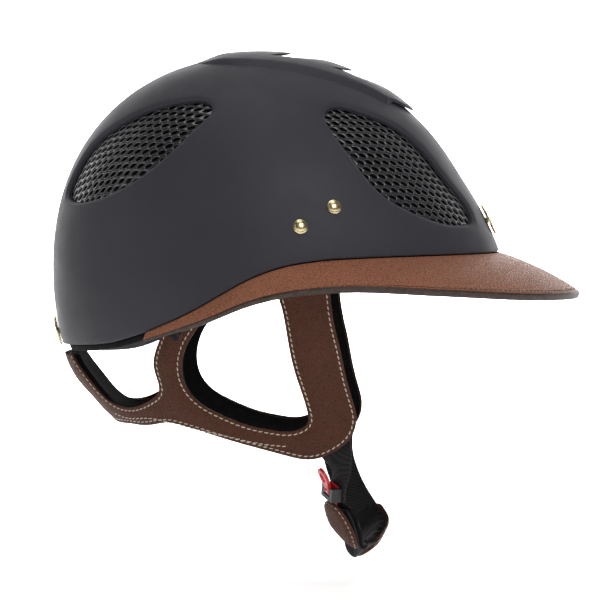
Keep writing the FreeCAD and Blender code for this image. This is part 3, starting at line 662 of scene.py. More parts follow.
def shell_mesh():
    """Shell with rounded rim and soft bevels that run down into the four windows."""
    spacing = 3.0
    lip = [(2.7, 0.0), (2.45, 0.05), (1.9, 0.28), (1.15, 0.62), (0.55, 0.95), (0.18, 1.3), (0.0, 1.8),
           (0.0, 3.0)]
    rim_steps = 360
    turns = [math.tau * i / rim_steps for i in range(rim_steps)]
    outer_loops, inner_loops, walls = [], [], []
    for window in WINDOWS.values():
        for left in (False, True):
            rings = []
            for growth, depth in lip:
                rings.append([on_dome(window, p.x, p.y, depth, left) for p in grown(window["loop"], growth)])
            walls.append(loft(rings, closed_section=True, caps=False))
            outer_loops.append([to_map(p) for p in rings[0]])
            inner_loops.append([to_map(on_dome(window, p.x, p.y, 0, left)) for p in window["loop"]])
    rim_rings = []
    rim_profile = [(0.9, 0.0), (0.55, 0.06), (0.25, 0.3), (0.04, 0.75), (0.0, 1.3), (0.0, 2.2), (0.2, 2.8),
                   (0.7, 3.0)]
    for down, depth in rim_profile:
        rim_rings.append([dome_point(t, rim_height(t) + down, depth) for t in turns])
    walls.append(loft(rim_rings, closed_section=True, caps=False))
    outer_rim = [to_map(p) for p in rim_rings[0]]
    skin = dome_skin(outer_loops, outer_rim, spacing, 0.0)
    under = dome_skin(inner_loops, outer_rim, 7.0, 3.0)
    return merge([skin, under] + walls)


verts, faces = shell_mesh()
piece("shell", verts, faces, SHELL, "helmet", ["outer_shell"])

# ------------------------------------------------------------------ crown band with three scales

BAND = [(-47, 4), (-45, 10), (-40.6, 20.4), (-25, 34), (-5, 40), (15, 41), (40, 38.5), (61, 33), (76, 28),
         (86, 23)]
LIPS = [12.0, 48.5, 85.0]
LIP_SWEEP, LIP_HALF = 13.0, 24.0
BAND_RISE, BAND_FLOOR = 2.9, 0.35


def lip_line(index, y):
    """Forward place of a lip's edge at a sideways distance: it sweeps back in an arc."""
    return LIPS[index] - LIP_SWEEP * min(1.0, abs(y) / LIP_HALF) ** 2


def band_mesh():
    """One skin over the crown: three scales, each with an undercut lip and a pocket beneath it."""
    columns = 56
    lip_profile = [(-1.2, 1.0, 0.0), (-0.4, 0.98, 0.0), (0.25, 0.86, 0.0), (0.5, 0.7, 0.0),
                   (0.35, 0.55, 0.0), (-1.2, 0.5, 0.0), (-4.0, 0.44, 0.0), (-6.5, 0.34, 0.0),
                   (-6.8, 0.12, 0.0), (-4.0, 0.02, 0.0), (0.5, 0.0, 0.0)]
    rows = []
    for scale in range(3):
        for step in range(1, 15):
            rows.append((scale, step / 15, None))
        for entry in lip_profile:
            rows.append((scale, 1.0, entry))
    sections = []
    for j in range(columns + 1):
        v = -1 + 2 * j / columns
        v = math.sin(v * math.pi / 2) * 0.35 + v * 0.65
        section = []
        for scale, share, entry in rows:
            y_guess = v * 36
            for _ in range(3):
                fade = 1 - smooth(LIP_HALF * 0.55, LIP_HALF, abs(y_guess))
                start = BAND[0][0] if scale == 0 else lip_line(scale - 1, y_guess) + 0.5 * fade
                end = lip_line(scale, y_guess)
                x = start + (end - start - 1.2) * share
                if entry:
                    x = end + entry[0] * fade + (1 - fade) * (-1.2 + 1.7 * (lip_profile.index(entry) / 10))
                y_guess = v * eased(BAND, x)
            y = y_guess
            side = 1 - smooth(0.80, 1.0, abs(v))
            ends = smooth(BAND[0][0], BAND[0][0] + 22, x)
            level = BAND_RISE * ends
            run = (x - start)
            trough = 1 - smooth(0, 24, run) if scale else 0.0
            trough *= fade
            high = level * (1 - trough) + BAND_FLOOR * trough
            if entry:
                low_level = BAND_FLOOR if scale < 2 else -0.6
                low_level = low_level * fade + (level if scale < 2 else -0.6) * (1 - fade)
                high = low_level + (level - low_level) * entry[1]
                if scale == 2:
                    high = low_level + (level - low_level) * max(entry[1], 0)
            height = high * side - 0.5 * (1 - side)
            base = roof(x, y)
            section.append(base + roof_normal(x, y) * height)
        sections.append(section)
    return loft(sections, closed_section=False, caps=False)


verts, faces = band_mesh()
band = piece("crown_scales", verts, faces, SHELL, "helmet", ["crown_band"])

# ------------------------------------------------------------------ window nets

GRILLE_INSET = 3.9


def net_mesh(window, left):
    """Wire net: every cell is a ring of strands round a rounded hole, pressed to the dome's curve."""
    across, down = window["cell"]
    limit = grown(window["loop"], 3.2)
    half = 0.80
    verts, faces = [], []
    reach = 16
    for i in range(-reach, reach + 1):
        for j in range(-reach, reach + 1):
            centre = across * i + down * j
            if not inside(limit, centre.x, centre.y):
                continue
            outer, inner = [], []
            for k in range(8):
                angle = math.tau * (k + 0.5) / 8 + math.pi / 8
                c, s = math.cos(angle), math.sin(angle)
                big = max(abs(c), abs(s))
                outer.append(centre + across * (c / big / 2) + down * (s / big / 2))
                shrink_a = 0.5 - half / across.length
                shrink_b = 0.5 - half / down.length
                power = 3.2
                norm = (abs(c) ** power + abs(s) ** power) ** (1 / power)
                inner.append(centre + across * (c / norm * shrink_a) + down * (s / norm * shrink_b))
            base = len(verts)
            for k, p in enumerate(outer):
                corner = k % 2 == 0
                verts.append((p, 0.34 if corner else 0.0))
            for p in inner:
                verts.append((p, -0.10))
            for k in range(8):
                faces.append((base + k, base + (k + 1) % 8, base + 8 + (k + 1) % 8, base + 8 + k))
    points = [on_dome(window, p.x, p.y, GRILLE_INSET - lift, left) for p, lift in verts]
    return points, faces


for place, window in WINDOWS.items():
    for side in ("right", "left"):
        verts, faces = net_mesh(window, side == "left")
        name = "grille_%s_%s" % (place, side)
        net = piece("net_%s_%s" % (place, side), verts, faces, NET, "helmet", [name])
        modifier(net, "SOLIDIFY", thickness=1.05 * MM, offset=0)
        modifier(net, "SUBSURF", levels=2, render_levels=2)
        finish_node("window_frame_%s_%s" % (place, side), BLACK)

# ------------------------------------------------------------------ stitching


def stitch_run(path, normals, length=2.5, gap=1.0, radius=0.36, slant=0.16):
    """Rows of short threads along a path that lies on a surface; each dips into the leather at both ends."""
    lengths = [0.0]
    for a, b in zip(path[:-1], path[1:]):
        lengths.append(lengths[-1] + (b - a).length)

    def place(goal):
        index = 0
        low, high = 0, len(lengths) - 2
        while low < high:
            middle = (low + high + 1) // 2
            if lengths[middle] <= goal:
                low = middle
            else:
                high = middle - 1
        index = low
        span = lengths[index + 1] - lengths[index]
        share = min(1.0, max(0.0, (goal - lengths[index]) / span)) if span else 0
        point = path[index].lerp(path[index + 1], share)
        return point, normals[index].lerp(normals[index + 1], share).normalized()

    parts = []
    count = max(1, int((lengths[-1] + gap) / (length + gap)))
    pitch = lengths[-1] / count
    for i in range(count):
        start = i * pitch + gap / 2
        end = (i + 1) * pitch - gap / 2
        sections = []
        wobble = random.uniform(-0.08, 0.08)
        for step in range(5):
            share = step / 4
            point, normal = place(start + (end - start) * share)
            ahead, _ = place(min(lengths[-1], start + (end - start) * share + 0.3))
            back, _ = place(max(0, start + (end - start) * share - 0.3))
            run = (ahead - back).normalized()
            side = normal.cross(run).normalized()
            swell = math.sin(math.pi * (0.12 + 0.76 * share))
            lift = -0.34 + 0.52 * swell
            centre = point + normal * lift + side * ((share - 0.5) * length * (slant + wobble))
            size = radius * (0.55 + 0.45 * swell)
            ring = []
            for k in range(6):
                angle = math.tau * k / 6
                across, out = size * math.cos(angle), size * 0.8 * math.sin(angle)
                ring.append(centre + side * across + normal * out)
            sections.append(ring)
        parts.append(loft(sections))
    return merge(parts)


# ------------------------------------------------------------------ brim

BRIM_REACH, BRIM_FADE, BRIM_END = 48.5, 2.3, 121
BRIM_EDGE = [(0, 5.4), (28, 6.6), (50, 10.2), (68, 12.4), (81, 9.4), (90, 4), (102, -7.3), (113, -15.4),
             (121, -20.2)]
COVER, BOARD_THICK = 1.2, 2.5


def brim_frame(turn):
    direction = Vector((math.cos(turn), math.sin(turn), 0))
    inner = dome_point(turn, rim_height(turn) - 0.4, 0.4)
    reach = BRIM_REACH * ((1 + math.cos(turn)) / 2) ** BRIM_FADE + 1.2
    outer = inner + direction * reach
    outer.z = eased(BRIM_EDGE, abs(math.degrees(turn)))
    return inner, outer, direction


def brim_down(turn):
    inner, outer, direction = brim_frame(turn)
    run = (outer - inner).normalized()
    down = run.cross(Vector((-direction.y, direction.x, 0))).normalized()
    return -down if down.z > 0 else down


def brim_point(turn, share, beyond, depth):
    inner, outer, direction = brim_frame(turn)
    run = (outer - inner).normalized()
    down = brim_down(turn)
    arch = 4 * share * (1 - share) * (outer - inner).length * 0.035
    return inner + (outer - inner) * share + run * beyond + down * (depth - arch)


def brim_thin(turn):
    return max(0.35, min(1.0, (BRIM_END + 12 - abs(math.degrees(turn))) / 30))


BRIM_TURNS = [math.radians(BRIM_END) * s / 110 for s in range(-110, 111)]


def brim_skin(profile):
    """Skin round the brim from a list of (share, beyond, depth) points; depth thins towards the tails."""
    sections = []
    for turn in BRIM_TURNS:
        thin = brim_thin(turn)
        sections.append([brim_point(turn, share, beyond, depth * thin) for share, beyond, depth in profile])
    return loft(sections)


STITCH_BACK = 3.6
shares = [i / 14 for i in range(14)]
top = [(0.0, 0.25, 0.9), (0.0, 0.0, 0.35)] + [(s, 0, 0) for s in shares[1:]]
top += [(1.0, -STITCH_BACK - 1.4, 0.0), (1.0, -STITCH_BACK - 0.5, 0.12), (1.0, -STITCH_BACK, 0.3),
        (1.0, -STITCH_BACK + 0.5, 0.12), (1.0, -2.5, 0.02), (1.0, -1.8, 0.1), (1.0, -1.35, 0.45),
        (1.0, -1.3, 1.1), (1.0, -1.6, 1.15)]
top += [(s, 0, 1.15) for s in reversed(shares[1:])]
verts, faces = brim_skin(top)
piece("brim_cover", verts, faces, BRIM_LEATHER, "helmet", ["brim_top_leather"], sharp=50)
UNDER = COVER + BOARD_THICK
below = [(0.0, 0.0, UNDER)] + [(s, 0, UNDER) for s in shares[1:]] + [(1.0, -1.6, UNDER)]
below += [(1.0, -1.3, UNDER + 0.1), (1.0, -1.35, UNDER + 0.8), (1.0, -1.9, UNDER + COVER)]
below += [(s, 0, UNDER + COVER) for s in reversed(shares[1:])] + [(0.0, 0.0, UNDER + COVER)]
verts, faces = brim_skin(below)
piece("brim_underside", verts, faces, BRIM_LEATHER, "helmet", ["brim_under_leather"],
      sharp=50)
bead = []
for k in range(14):
    angle = math.tau * k / 14
    bead.append((1.0, -1.15 + 1.15 * math.copysign(abs(math.cos(angle)) ** 0.7, math.cos(angle)),
                 2.6 + 2.3 * math.copysign(abs(math.sin(angle)) ** 0.7, math.sin(angle))))
verts, faces = brim_skin(bead)
piece("brim_edge", verts, faces, EDGE, "helmet", ["brim_edge_binding"])
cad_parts["brim_board"].data.materials.clear()
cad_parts["brim_board"].data.materials.append(BOARD)

stitch_parts = []
path, normals = [], []
for step in range(-400, 401):
    turn = math.radians(BRIM_END - 3) * step / 400
    path.append(brim_point(turn, 1.0, -STITCH_BACK, 0.22))
    normals.append(-brim_down(turn))
stitch_parts.append(stitch_run(path, normals))
verts, faces = merge(stitch_parts)
piece("brim_stitching", verts, faces, THREAD, "helmet")

# ------------------------------------------------------------------ harness

HARNESS_WIDTH = [(-110, 60), (-90, 66), (-70, 73), (-50, 80), (-28, 88), (0, 97), (24, 104), (40, 106)]
HARNESS_BACK = [(-110, 64), (-85, 84), (-75, 92), (-60, 105), (-46, 117), (-31, 123.6), (0, 124), (40, 124)]
HARNESS_EDGE = [(-81.7, -72.8), (-71.4, -73), (-60, -70.9), (-47.3, -73), (-18.6, -81.6), (9.8, -89.4),
                (28, -92.2), (40.8, -87.5), (51, -78.5), (54.3, -67.1), (52.2, -57), (48.7, -44.2),
                (45.1, -26.4), (41.4, -10.1), (39.3, 9.9), (39, 34)]
MIDDLE_OPENING = [(-28, 32), (-31, 0), (-37.1, -9.9), (-45.8, -22.8), (-49.3, -35.7), (-47.4, -47.6),
                  (-40.2, -57.2), (-27.5, -64.6), (-11.6, -71), (4.1, -74.4), (18.9, -74.4), (25.2, -70),
                  (25, -63), (17.4, -37.5), (13.4, -16.1), (10.4, 0), (7, 12), (6, 32)]
REAR_OPENING = [(-122, 10), (-120.5, -27), (-107.6, -46.7), (-93.4, -60.4), (-84.2, -62.4), (-70.6, -58),
                (-63.7, -51.2), (-64.2, -46), (-66.5, -36), (-65.2, -27.4), (-62.3, -19.8), (-58, 0),
                (-58, 10)]
ROUND = 2 / 2.3
REF_WIDE, REF_BACK = 80.0, 107.0
arc_table = [0.0]
for step in range(1, 181):
    a, b = math.radians((step - 1) / 2), math.radians(step / 2)
    here = Vector((REF_BACK * math.sin(b) ** ROUND, REF_WIDE * math.cos(b) ** ROUND))
    last = Vector((REF_BACK * math.sin(a) ** ROUND, REF_WIDE * max(0, math.cos(a)) ** ROUND))
    arc_table.append(arc_table[-1] + (here - last).length)
NAPE = arc_table[-1]


def wrap_of(x, z):
    """Distance round the harness from the side towards the nape for a side-view place."""
    if x >= 0:
        return -x
    back = eased(HARNESS_BACK, z)
    angle = math.degrees(math.asin(min(1.0, (-x / back)) ** (1 / ROUND)))
    index = min(int(angle * 2), 179)
    return arc_table[index] + (arc_table[index + 1] - arc_table[index]) * (angle * 2 - index)


def harness_point(wrap, z, inset, left=False):
    wide, back = eased(HARNESS_WIDTH, z) - inset, eased(HARNESS_BACK, z) - inset
    if wrap <= 0:
        x, y = -wrap, wide
    else:
        low, high = 0, 180
        while high - low > 1:
            middle = (low + high) // 2
            if arc_table[middle] <= wrap:
                low = middle
            else:
                high = middle
        share = (wrap - arc_table[low]) / (arc_table[high] - arc_table[low])
        angle = math.radians((low + share) / 2)
        x = -back * math.sin(angle) ** ROUND
        y = wide * max(0.0, math.cos(angle)) ** ROUND
    return Vector((x, y if left else -y, z))


def harness_normal(wrap, z, left=False):
    along = Vector((0, 1, 0))
    if wrap < NAPE - 1:
        along = harness_point(wrap + 0.6, z, 0, left) - harness_point(wrap - 0.6, z, 0, left)
    rise = harness_point(wrap, z + 0.6, 0, left) - harness_point(wrap, z - 0.6, 0, left)
    normal = along.cross(rise).normalized()
    centre = Vector((0, 0, z))
    point = harness_point(wrap, z, 0, left)
    return normal if normal.dot(point - centre) > 0 else -normal


def harness_run(points):
    """Side-view points as a smooth line on the flat harness map (wrap, height)."""
    line = Spline([Vector((x, z, 0)) for x, z in points]).even(1.6)
    return [Vector((wrap_of(p.x, p.y), p.y)) for p in line], line


def below_rim(run, line, drop=4.2):
    return [flat for flat, side in zip(run, line) if flat.y < eased(RIM, side.x) - drop]


edge_run = below_rim(*harness_run(HARNESS_EDGE))
middle_run = below_rim(*harness_run(MIDDLE_OPENING))
rear_run = below_rim(*harness_run(REAR_OPENING))
nape_low = [Vector((NAPE - (NAPE - edge_run[0].x) * s / 24, -72.9)) for s in range(24)]
edge_run = nape_low + edge_run


def top_run(a, b):
    """Level line between two leg tops."""
    steps = max(2, int((b - a).length / 1.6))
    return [a.lerp(b, s / steps) for s in range(1, steps)]


nape_top = Vector((NAPE, rear_run[0].y))
outline = edge_run + top_run(edge_run[-1], middle_run[-1]) + middle_run[::-1]
outline += top_run(middle_run[0], rear_run[-1]) + rear_run[::-1] + top_run(rear_run[0], nape_top) + [nape_top]
outline += top_run(nape_top, nape_low[0])
stitched_edges = [edge_run, middle_run, rear_run]


def offset_run(run, amount):
    result = []
    for index, p in enumerate(run):
        a, b = run[max(index - 1, 0)], run[min(index + 1, len(run) - 1)]
        way = (b - a).normalized()
        result.append(p + Vector((-way.y, way.x)) * amount)
    return result


edge_tree = kdtree.KDTree(sum(len(run) for run in stitched_edges))
count = 0
for run in stitched_edges:
    for p in run:
        edge_tree.insert(Vector((p.x, p.y, 0)), count)
        count += 1
edge_tree.balance()


def harness_flat(border, spacing, offsets):
    """Triangulated flat harness half with extra rows of points beside its edges."""
    points = list(border)
    edges = [(i, (i + 1) % len(border)) for i in range(len(border))]
    rows = []
    for amount in offsets:
        for run in stitched_edges:
            for sign in (1, -1):
                for p in offset_run(run, amount * sign):
                    if not inside(border, p.x, p.y):
                        continue
                    if abs(edge_tree.find(Vector((p.x, p.y, 0)))[2] - amount) > amount * 0.15 + 0.1:
                        continue
                    rows.append(p)
    grid = []
    last = max(offsets) + spacing * 0.5
    x = min(p.x for p in border)
    row = 0
    while x < NAPE:
        z = -95 + (spacing / 2 if row % 2 else 0)
        while z < 30:
            if edge_tree.find(Vector((x, z, 0)))[2] > last and inside(border, x, z) and x < NAPE - 0.7:
                grid.append(Vector((x, z)))
            z += spacing
        x += spacing * 0.87
        row += 1
    out, _, faces, _, _, _ = geometry.delaunay_2d_cdt(points + rows + grid, edges, [], 0, 1e-5)
    kept = []
    for face in faces:
        c = sum((out[i] for i in face), Vector((0, 0))) / len(face)
        if inside(border, c.x, c.y):
            kept.append(tuple(face))
    return out, kept


def edge_distance(p):
    return edge_tree.find(Vector((p.x, p.y, 0)))[2]


STITCH_IN = 2.1


def leather_lift(d):
    """Outward height of the leather against the distance from its edge: rounded, pinched at the stitches."""
    edge = -0.75 * (1 - smooth(0.0, 1.0, d))
    pinch = -0.42 * math.exp(-((d - STITCH_IN) / 0.65) ** 2)
    pillow = 0.85 * smooth(STITCH_IN, STITCH_IN + 7, d)
    return edge + pinch + pillow


def harness_skin(front, back, spacing, offsets, growth=0.0):
    """Both halves of the harness between two inset functions of edge distance."""
    border = outline
    if growth:
        grown_runs = [offset_run(run, -growth) for run in (edge_run, )] + \
                     [offset_run(run, growth) for run in (middle_run, rear_run)]
        e, m, r = grown_runs
        e[0] = Vector((NAPE, e[0].y))
        border = e + top_run(e[-1], m[-1]) + m[::-1] + top_run(m[0], r[-1]) + r[::-1]
        top = Vector((NAPE, r[0].y))
        border += top_run(r[0], top) + [top] + top_run(top, e[0])
    flat, faces = harness_flat(border, spacing, offsets)
    parts = []
    signed = []
    for p in flat:
        d = edge_distance(p)
        signed.append(d if inside(outline, p.x, p.y) else -d)
    for left in (False, True):
        near = [harness_point(p.x, p.y, front(d), left) for p, d in zip(flat, signed)]
        far = [harness_point(p.x, p.y, back(d), left) for p, d in zip(flat, signed)]
        count = len(flat)
        wall = []
        for i in range(len(border)):
            j = (i + 1) % len(border)
            if border[i].x > NAPE - 0.01 and border[j].x > NAPE - 0.01:
                continue
            wall.append((i, j, j + count, i + count))
        parts.append((near + far, faces + [tuple(i + count for i in f) for f in faces] + wall))
    return merge(parts)


step = 2.6
verts, faces = harness_skin(lambda d: -leather_lift(d), lambda d: 1.55, step,
                            [0.35, 0.75, 1.15, 1.6, STITCH_IN, 2.6, 3.2, 4.2])
piece("harness_strap", verts, faces, SHADE_DARKENED_LEATHER, "helmet", ["harness_leather"],
      sharp=60)
verts, faces = harness_skin(lambda d: 1.7 + 0.5 * (1 - smooth(-1.3, 0.2, d)),
                            lambda d: 5.5 - 2.2 * (1 - smooth(-1.3, 1.0, d)) + 0.5 * smooth(1.5, 6, d), step,
                            [0.6, 1.4, 2.4, 3.6], growth=1.2)
lining = piece("harness_padding", verts, faces, LINING, "helmet", ["harness_lining"], sharp=70)

parts = []
for run in stitched_edges:
    for sign in (1, -1):
        row = [p for p in offset_run(run, STITCH_IN * sign)
               if inside(outline, p.x, p.y) and abs(edge_distance(p) - STITCH_IN) < 0.35]
        if len(row) < 10:
            continue
        for left in (False, True):
            path = [harness_point(p.x, p.y, -leather_lift(STITCH_IN) - 0.05, left) for p in row]
            normals = [harness_normal(p.x, p.y, left) for p in row]
            parts.append(stitch_run(path, normals))
EXTRA_ROW = [(-92, -66.6), (-84.5, -69), (-70, -68.4), (-56, -70.8), (-40, -74.6), (-18, -79.4), (-2, -82.8),
             (13, -84.2)]
row = harness_run(EXTRA_ROW)[0]
for left in (False, True):
    path = [harness_point(p.x, p.y, -leather_lift(5.5) + 0.12, left) for p in row]
    normals = [harness_normal(p.x, p.y, left) for p in row]
    parts.append(stitch_run(path, normals))
verts, faces = merge(parts)
piece("harness_stitching", verts, faces, THREAD, "helmet")

# ------------------------------------------------------------------ padded pieces by cloth simulation


def puffed(obj, voxel, pressure, cap, seam=None):
    """Swells a closed piece like sewn, padded fabric; `seam` returns how firmly a point is held, 0 to 1."""
    mesh = obj.data
    remesh = modifier(obj, "REMESH", mode="VOXEL", voxel_size=voxel * MM)
    view = bpy.context.evaluated_depsgraph_get()
    fresh = bpy.data.meshes.new_from_object(obj.evaluated_get(view))
    obj.modifiers.remove(remesh)
    fresh.name = mesh.name + "_puffed"
    fresh.materials.clear()
    fresh.materials.append(mesh.materials[0])
    obj.data = fresh
    start = [v.co.copy() for v in fresh.vertices]
    group = obj.vertex_groups.new(name="seams")
    if seam:
        for index, co in enumerate(start):
            group.add([index], min(1.0, max(0.0, seam(co / MM))), "REPLACE")
    cloth = obj.modifiers.new("cloth", "CLOTH")
    settings = cloth.settings
    settings.quality = 6
    settings.mass = 0.3
    settings.tension_stiffness = settings.compression_stiffness = 12
    settings.shear_stiffness = 6
    settings.bending_stiffness = 0.4
    settings.use_pressure = True
    settings.uniform_pressure_force = pressure
    settings.effector_weights.gravity = 0
    cloth.collision_settings.use_collision = False
    if seam:
        settings.vertex_group_mass = "seams"
    scene = bpy.context.scene
    for number in range(1, 21):
        scene.frame_set(number)
    view = bpy.context.evaluated_depsgraph_get()
    moved = obj.evaluated_get(view).to_mesh()
    places = [v.co.copy() for v in moved.vertices]
    obj.evaluated_get(view).to_mesh_clear()
    obj.modifiers.remove(cloth)
    obj.vertex_groups.clear()
    scene.frame_set(1)
    for vertex, co, first in zip(fresh.vertices, places, start):
        step = co - first
        if step.length > cap * MM:
            step *= cap * MM / step.length
        vertex.co = first + step
    fresh.polygons.foreach_set("use_smooth", [True] * len(fresh.polygons))
    modifier(obj, "SUBSURF", levels=1, render_levels=1)


def add_map(obj, values):
    """UV layer from one (along, across) pair in mm for each vertex, for woven materials."""
    layer = obj.data.uv_layers.new(name="weave")
    for loop in obj.data.loops:
        layer.data[loop.index].uv = values[loop.vertex_index]


# ------------------------------------------------------------------ chin strap

STRAP = [
    ((40, -57.5, -80), (1, 0, 0), 20), ((42, -56.5, -90), (0.92, -0.4, 0), 20),
    ((44, -54, -99), (0.6, -0.8, 0), 20), ((43, -51.5, -109), (0.44, -0.9, 0), 20),
    ((42.5, -49, -118), (0.46, -0.89, 0.02), 20), ((44.5, -46.5, -127), (0.52, -0.85, 0.02), 24),
    ((47.5, -43, -136.5), (0.52, -0.85, -0.05), 24), ((51, -37.5, -144), (0.42, -0.85, -0.1), 18),
    ((55, -28, -149), (0.5, -0.35, 0.4), 14), ((58.5, -15, -149.5), (0.65, -0.3, 0.5), 17),
    ((61, -1, -147), (0.75, -0.3, 0.6), 22), ((61, 14, -141.5), (0.8, -0.3, 0.5), 25),
    ((56, 28, -132), (0.85, -0.3, 0.4), 22), ((48.5, 40, -119.5), (0.9, -0.2, 0.35), 20),
    ((42.7, 49.5, -107), (0.92, -0.2, 0.25), 20), ((39.5, 55, -94), (0.97, -0.1, 0.1), 20),
    ((40, 57.5, -80), (1, 0, 0), 20),
]
strap_line = Spline([centre for centre, width, across in STRAP])
strap_side = Spline([Vector(centre) + Vector(width) * 10 for centre, width, across in STRAP],
                    knots=strap_line.knots)
STRAP_WIDTHS = [(knot, across) for knot, (centre, width, across) in zip(strap_line.knots, STRAP)]


def strap_at(station):
    """Curve value at a place counted in stations, such as 3.4."""
    index = min(int(station), len(STRAP) - 2)
    return strap_line.knots[index] + strap_line.step[index] * (station - index)


def strap_frame(station):
    """Centre, forward run, width direction and outward face at a place counted in stations."""
    value = strap_at(station)
    centre = strap_line.at(value)
    run = (strap_line.at(value + 0.2) - strap_line.at(value - 0.2)).normalized()
    width = strap_side.at(value) - centre
    width = (width - run * width.dot(run)).normalized()
    return centre, run, width, run.cross(width)


def strap_width(station):
    return eased(STRAP_WIDTHS, strap_at(station))


def strap_point(station, side, lift):
    """Point `side` mm across and `lift` mm off the strap's face."""
    centre, run, width, face = strap_frame(station)
    return centre + width * side + face * lift


def webbing(name, start, end, extra, node_name, half=0.8):
    """Woven band: thick rounded selvedges, slightly thinner middle."""
    steps = int((end - start) * 16)
    sections, flat = [], []
    profile = [(-1.0, 0.0), (-0.985, 0.75), (-0.94, 1.0), (-0.86, 0.92), (-0.6, 0.86), (-0.3, 0.84),
               (0.0, 0.84), (0.3, 0.84), (0.6, 0.86), (0.86, 0.92), (0.94, 1.0), (0.985, 0.75), (1.0, 0.0)]
    profile += [(x, -z) for x, z in profile[-2:0:-1]]
    for step in range(steps + 1):
        station = start + (end - start) * step / steps
        wide = (strap_width(station) + extra) / 2
        sections.append([strap_point(station, x * wide, z * half) for x, z in profile])
        flat += [(station * 12.0, x * wide) for x, z in profile]
    verts, faces = loft(sections)
    band = piece(name, verts, faces, WEBBING, "chin_strap", [node_name], sharp=50)
    if len(band.data.vertices) == len(flat):
        add_map(band, flat)
    return band


webbing("webbing_right", 0.0, 3.71, -0.1, "chin_web_right")
webbing("webbing_left", 4.5, len(STRAP) - 1.0, -1.1, "chin_web_left")


def end_round(station, start, end, tip):
    """Share of the full width near a rounded end."""
    near = min(station - start, end - station) / tip
    return 1.0 if near >= 1 else math.sqrt(max(0.0, 1 - (1 - max(near, 0)) ** 2))


# Mean distance between two stations of the strap.
STATION_MM = 11.5


def pad_skin(start, end, tip, extra, columns, rows, top, bottom, floor=0.05):
    """Closed pad along the strap: `top` and `bottom` give heights from (station, share across, edge mm)."""
    upper, lower = [], []
    for i in range(rows + 1):
        station = start + (end - start) * i / rows
        wide = (strap_width(station) + extra) / 2 * max(floor, end_round(station, start, end, tip))
        line_up, line_down = [], []
        for j in range(columns + 1):
            u = -1 + 2 * j / columns
            u = math.sin(u * math.pi / 2) * 0.5 + u * 0.5
            edge = min(wide * (1 - abs(u)), (station - start) * STATION_MM, (end - station) * STATION_MM)
            line_up.append(strap_point(station, u * wide, top(station, u, edge)))
            line_down.append(strap_point(station, u * wide, bottom(station, u, edge)))
        upper.append(line_up)
        lower.append(line_down)
    sections = [up + down[::-1] for up, down in zip(upper, lower)]
    return loft(sections)


def cup(u):
    """How far the pad's sides curl in towards the face."""
    return -2.2 * abs(u) ** 2.4


verts, faces = pad_skin(3.95, 12.2, 0.5, 1.2, 8, 80, lambda s, u, e: -1.3, lambda s, u, e: -4.1, 0.3)
chin_padding = piece("chin_padding", verts, faces, LINING, "chin_strap", ["chin_pad_lining"])
puffed(chin_padding, 2.6, 3.0, 1.6)


def patch_lift(station):
    share = (station - 3.92) / (7.15 - 3.92)
    return 5.2 + (0.9 - 5.2) * min(1.0, max(0.0, share))


def leather_edge(edge):
    """Profile of a stitched leather edge: rounded rim, groove at the stitches, soft body."""
    return -0.7 * (1 - smooth(0, 1.0, edge)) - 0.38 * math.exp(-((edge - 1.9) / 0.6) ** 2) + \
        0.5 * smooth(2.0, 6.0, edge)


verts, faces = pad_skin(3.92, 7.15, 0.6, 0, 22, 60,
                        lambda s, u, e: patch_lift(s) + 1.4 + leather_edge(e) + 0.5 * cup(u),
                        lambda s, u, e: patch_lift(s) + 0.5 * cup(u))
piece("chin_leather_right", verts, faces, SHADE_DARKENED_LEATHER, "chin_strap",
      ["chin_pad_leather_right"], sharp=65)
verts, faces = pad_skin(9.0, 12.1, 0.35, 3.2, 22, 60,
                        lambda s, u, e: 2.5 + leather_edge(e) + cup(u),
                        lambda s, u, e: 0.95 + cup(u))
piece("chin_leather_left", verts, faces, SHADE_DARKENED_LEATHER, "chin_strap",
      ["chin_pad_leather_left"], sharp=65)


def patch_stitches(start, end, tip, extra, lift, curl):
    """Stitch row that follows a leather patch's outline on its outer face."""
    inset = 1.9
    path, normals = [], []
    stations = [start + 0.17 + (end - start - 0.34) * i / 60 for i in range(61)]
    right_side = [(s, 1) for s in stations]
    left_side = [(s, -1) for s in reversed(stations)]
    for s, sign in right_side + left_side + right_side[:1]:
        wide = (strap_width(s) + extra) / 2 * end_round(s, start, end, tip)
        side = max(0.0, wide - inset) * sign
        u = side / wide if wide else 0
        centre, run, width, face = strap_frame(s)
        path.append(strap_point(s, side, lift(s) + 1.05 + curl * cup(u)))
        normals.append(face)
    return stitch_run(path, normals, radius=0.30)


verts, faces = merge([patch_stitches(3.92, 7.15, 0.6, 0, patch_lift, 0.5),
                      patch_stitches(9.0, 12.1, 0.35, 3.2, lambda s: 1.1, 1.0)])
piece("chin_stitching", verts, faces, THREAD, "chin_strap")

# The liner mesh takes the near-black fabric, partly painted shade, that darkens the view through the window
# nets.
for name, material in (("buckle_body", BLACK), ("lever_pin", STEEL), ("lever_spring", STEEL),
                       ("buckle_lever", RED), ("ratchet_tongue", RED), ("rivet_washers", STEEL),
                       ("strap_pin_right", STEEL), ("strap_pin_left", STEEL), ("strap_anchor_right", BLACK),
                       ("strap_anchor_left", BLACK), ("foam_liner", FOAM), ("liner_mesh", SHADE_DARK_LINER_FABRIC)):
    finish_node(name, material)
for name in ("buckle_body", "buckle_lever", "ratchet_tongue"):
    soften = modifier(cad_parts[name], "BEVEL", width=0.35 * MM, segments=3, limit_method="ANGLE")
    soften.angle_limit = math.radians(35)

# ------------------------------------------------------------------ liner, webs, rivets and badges


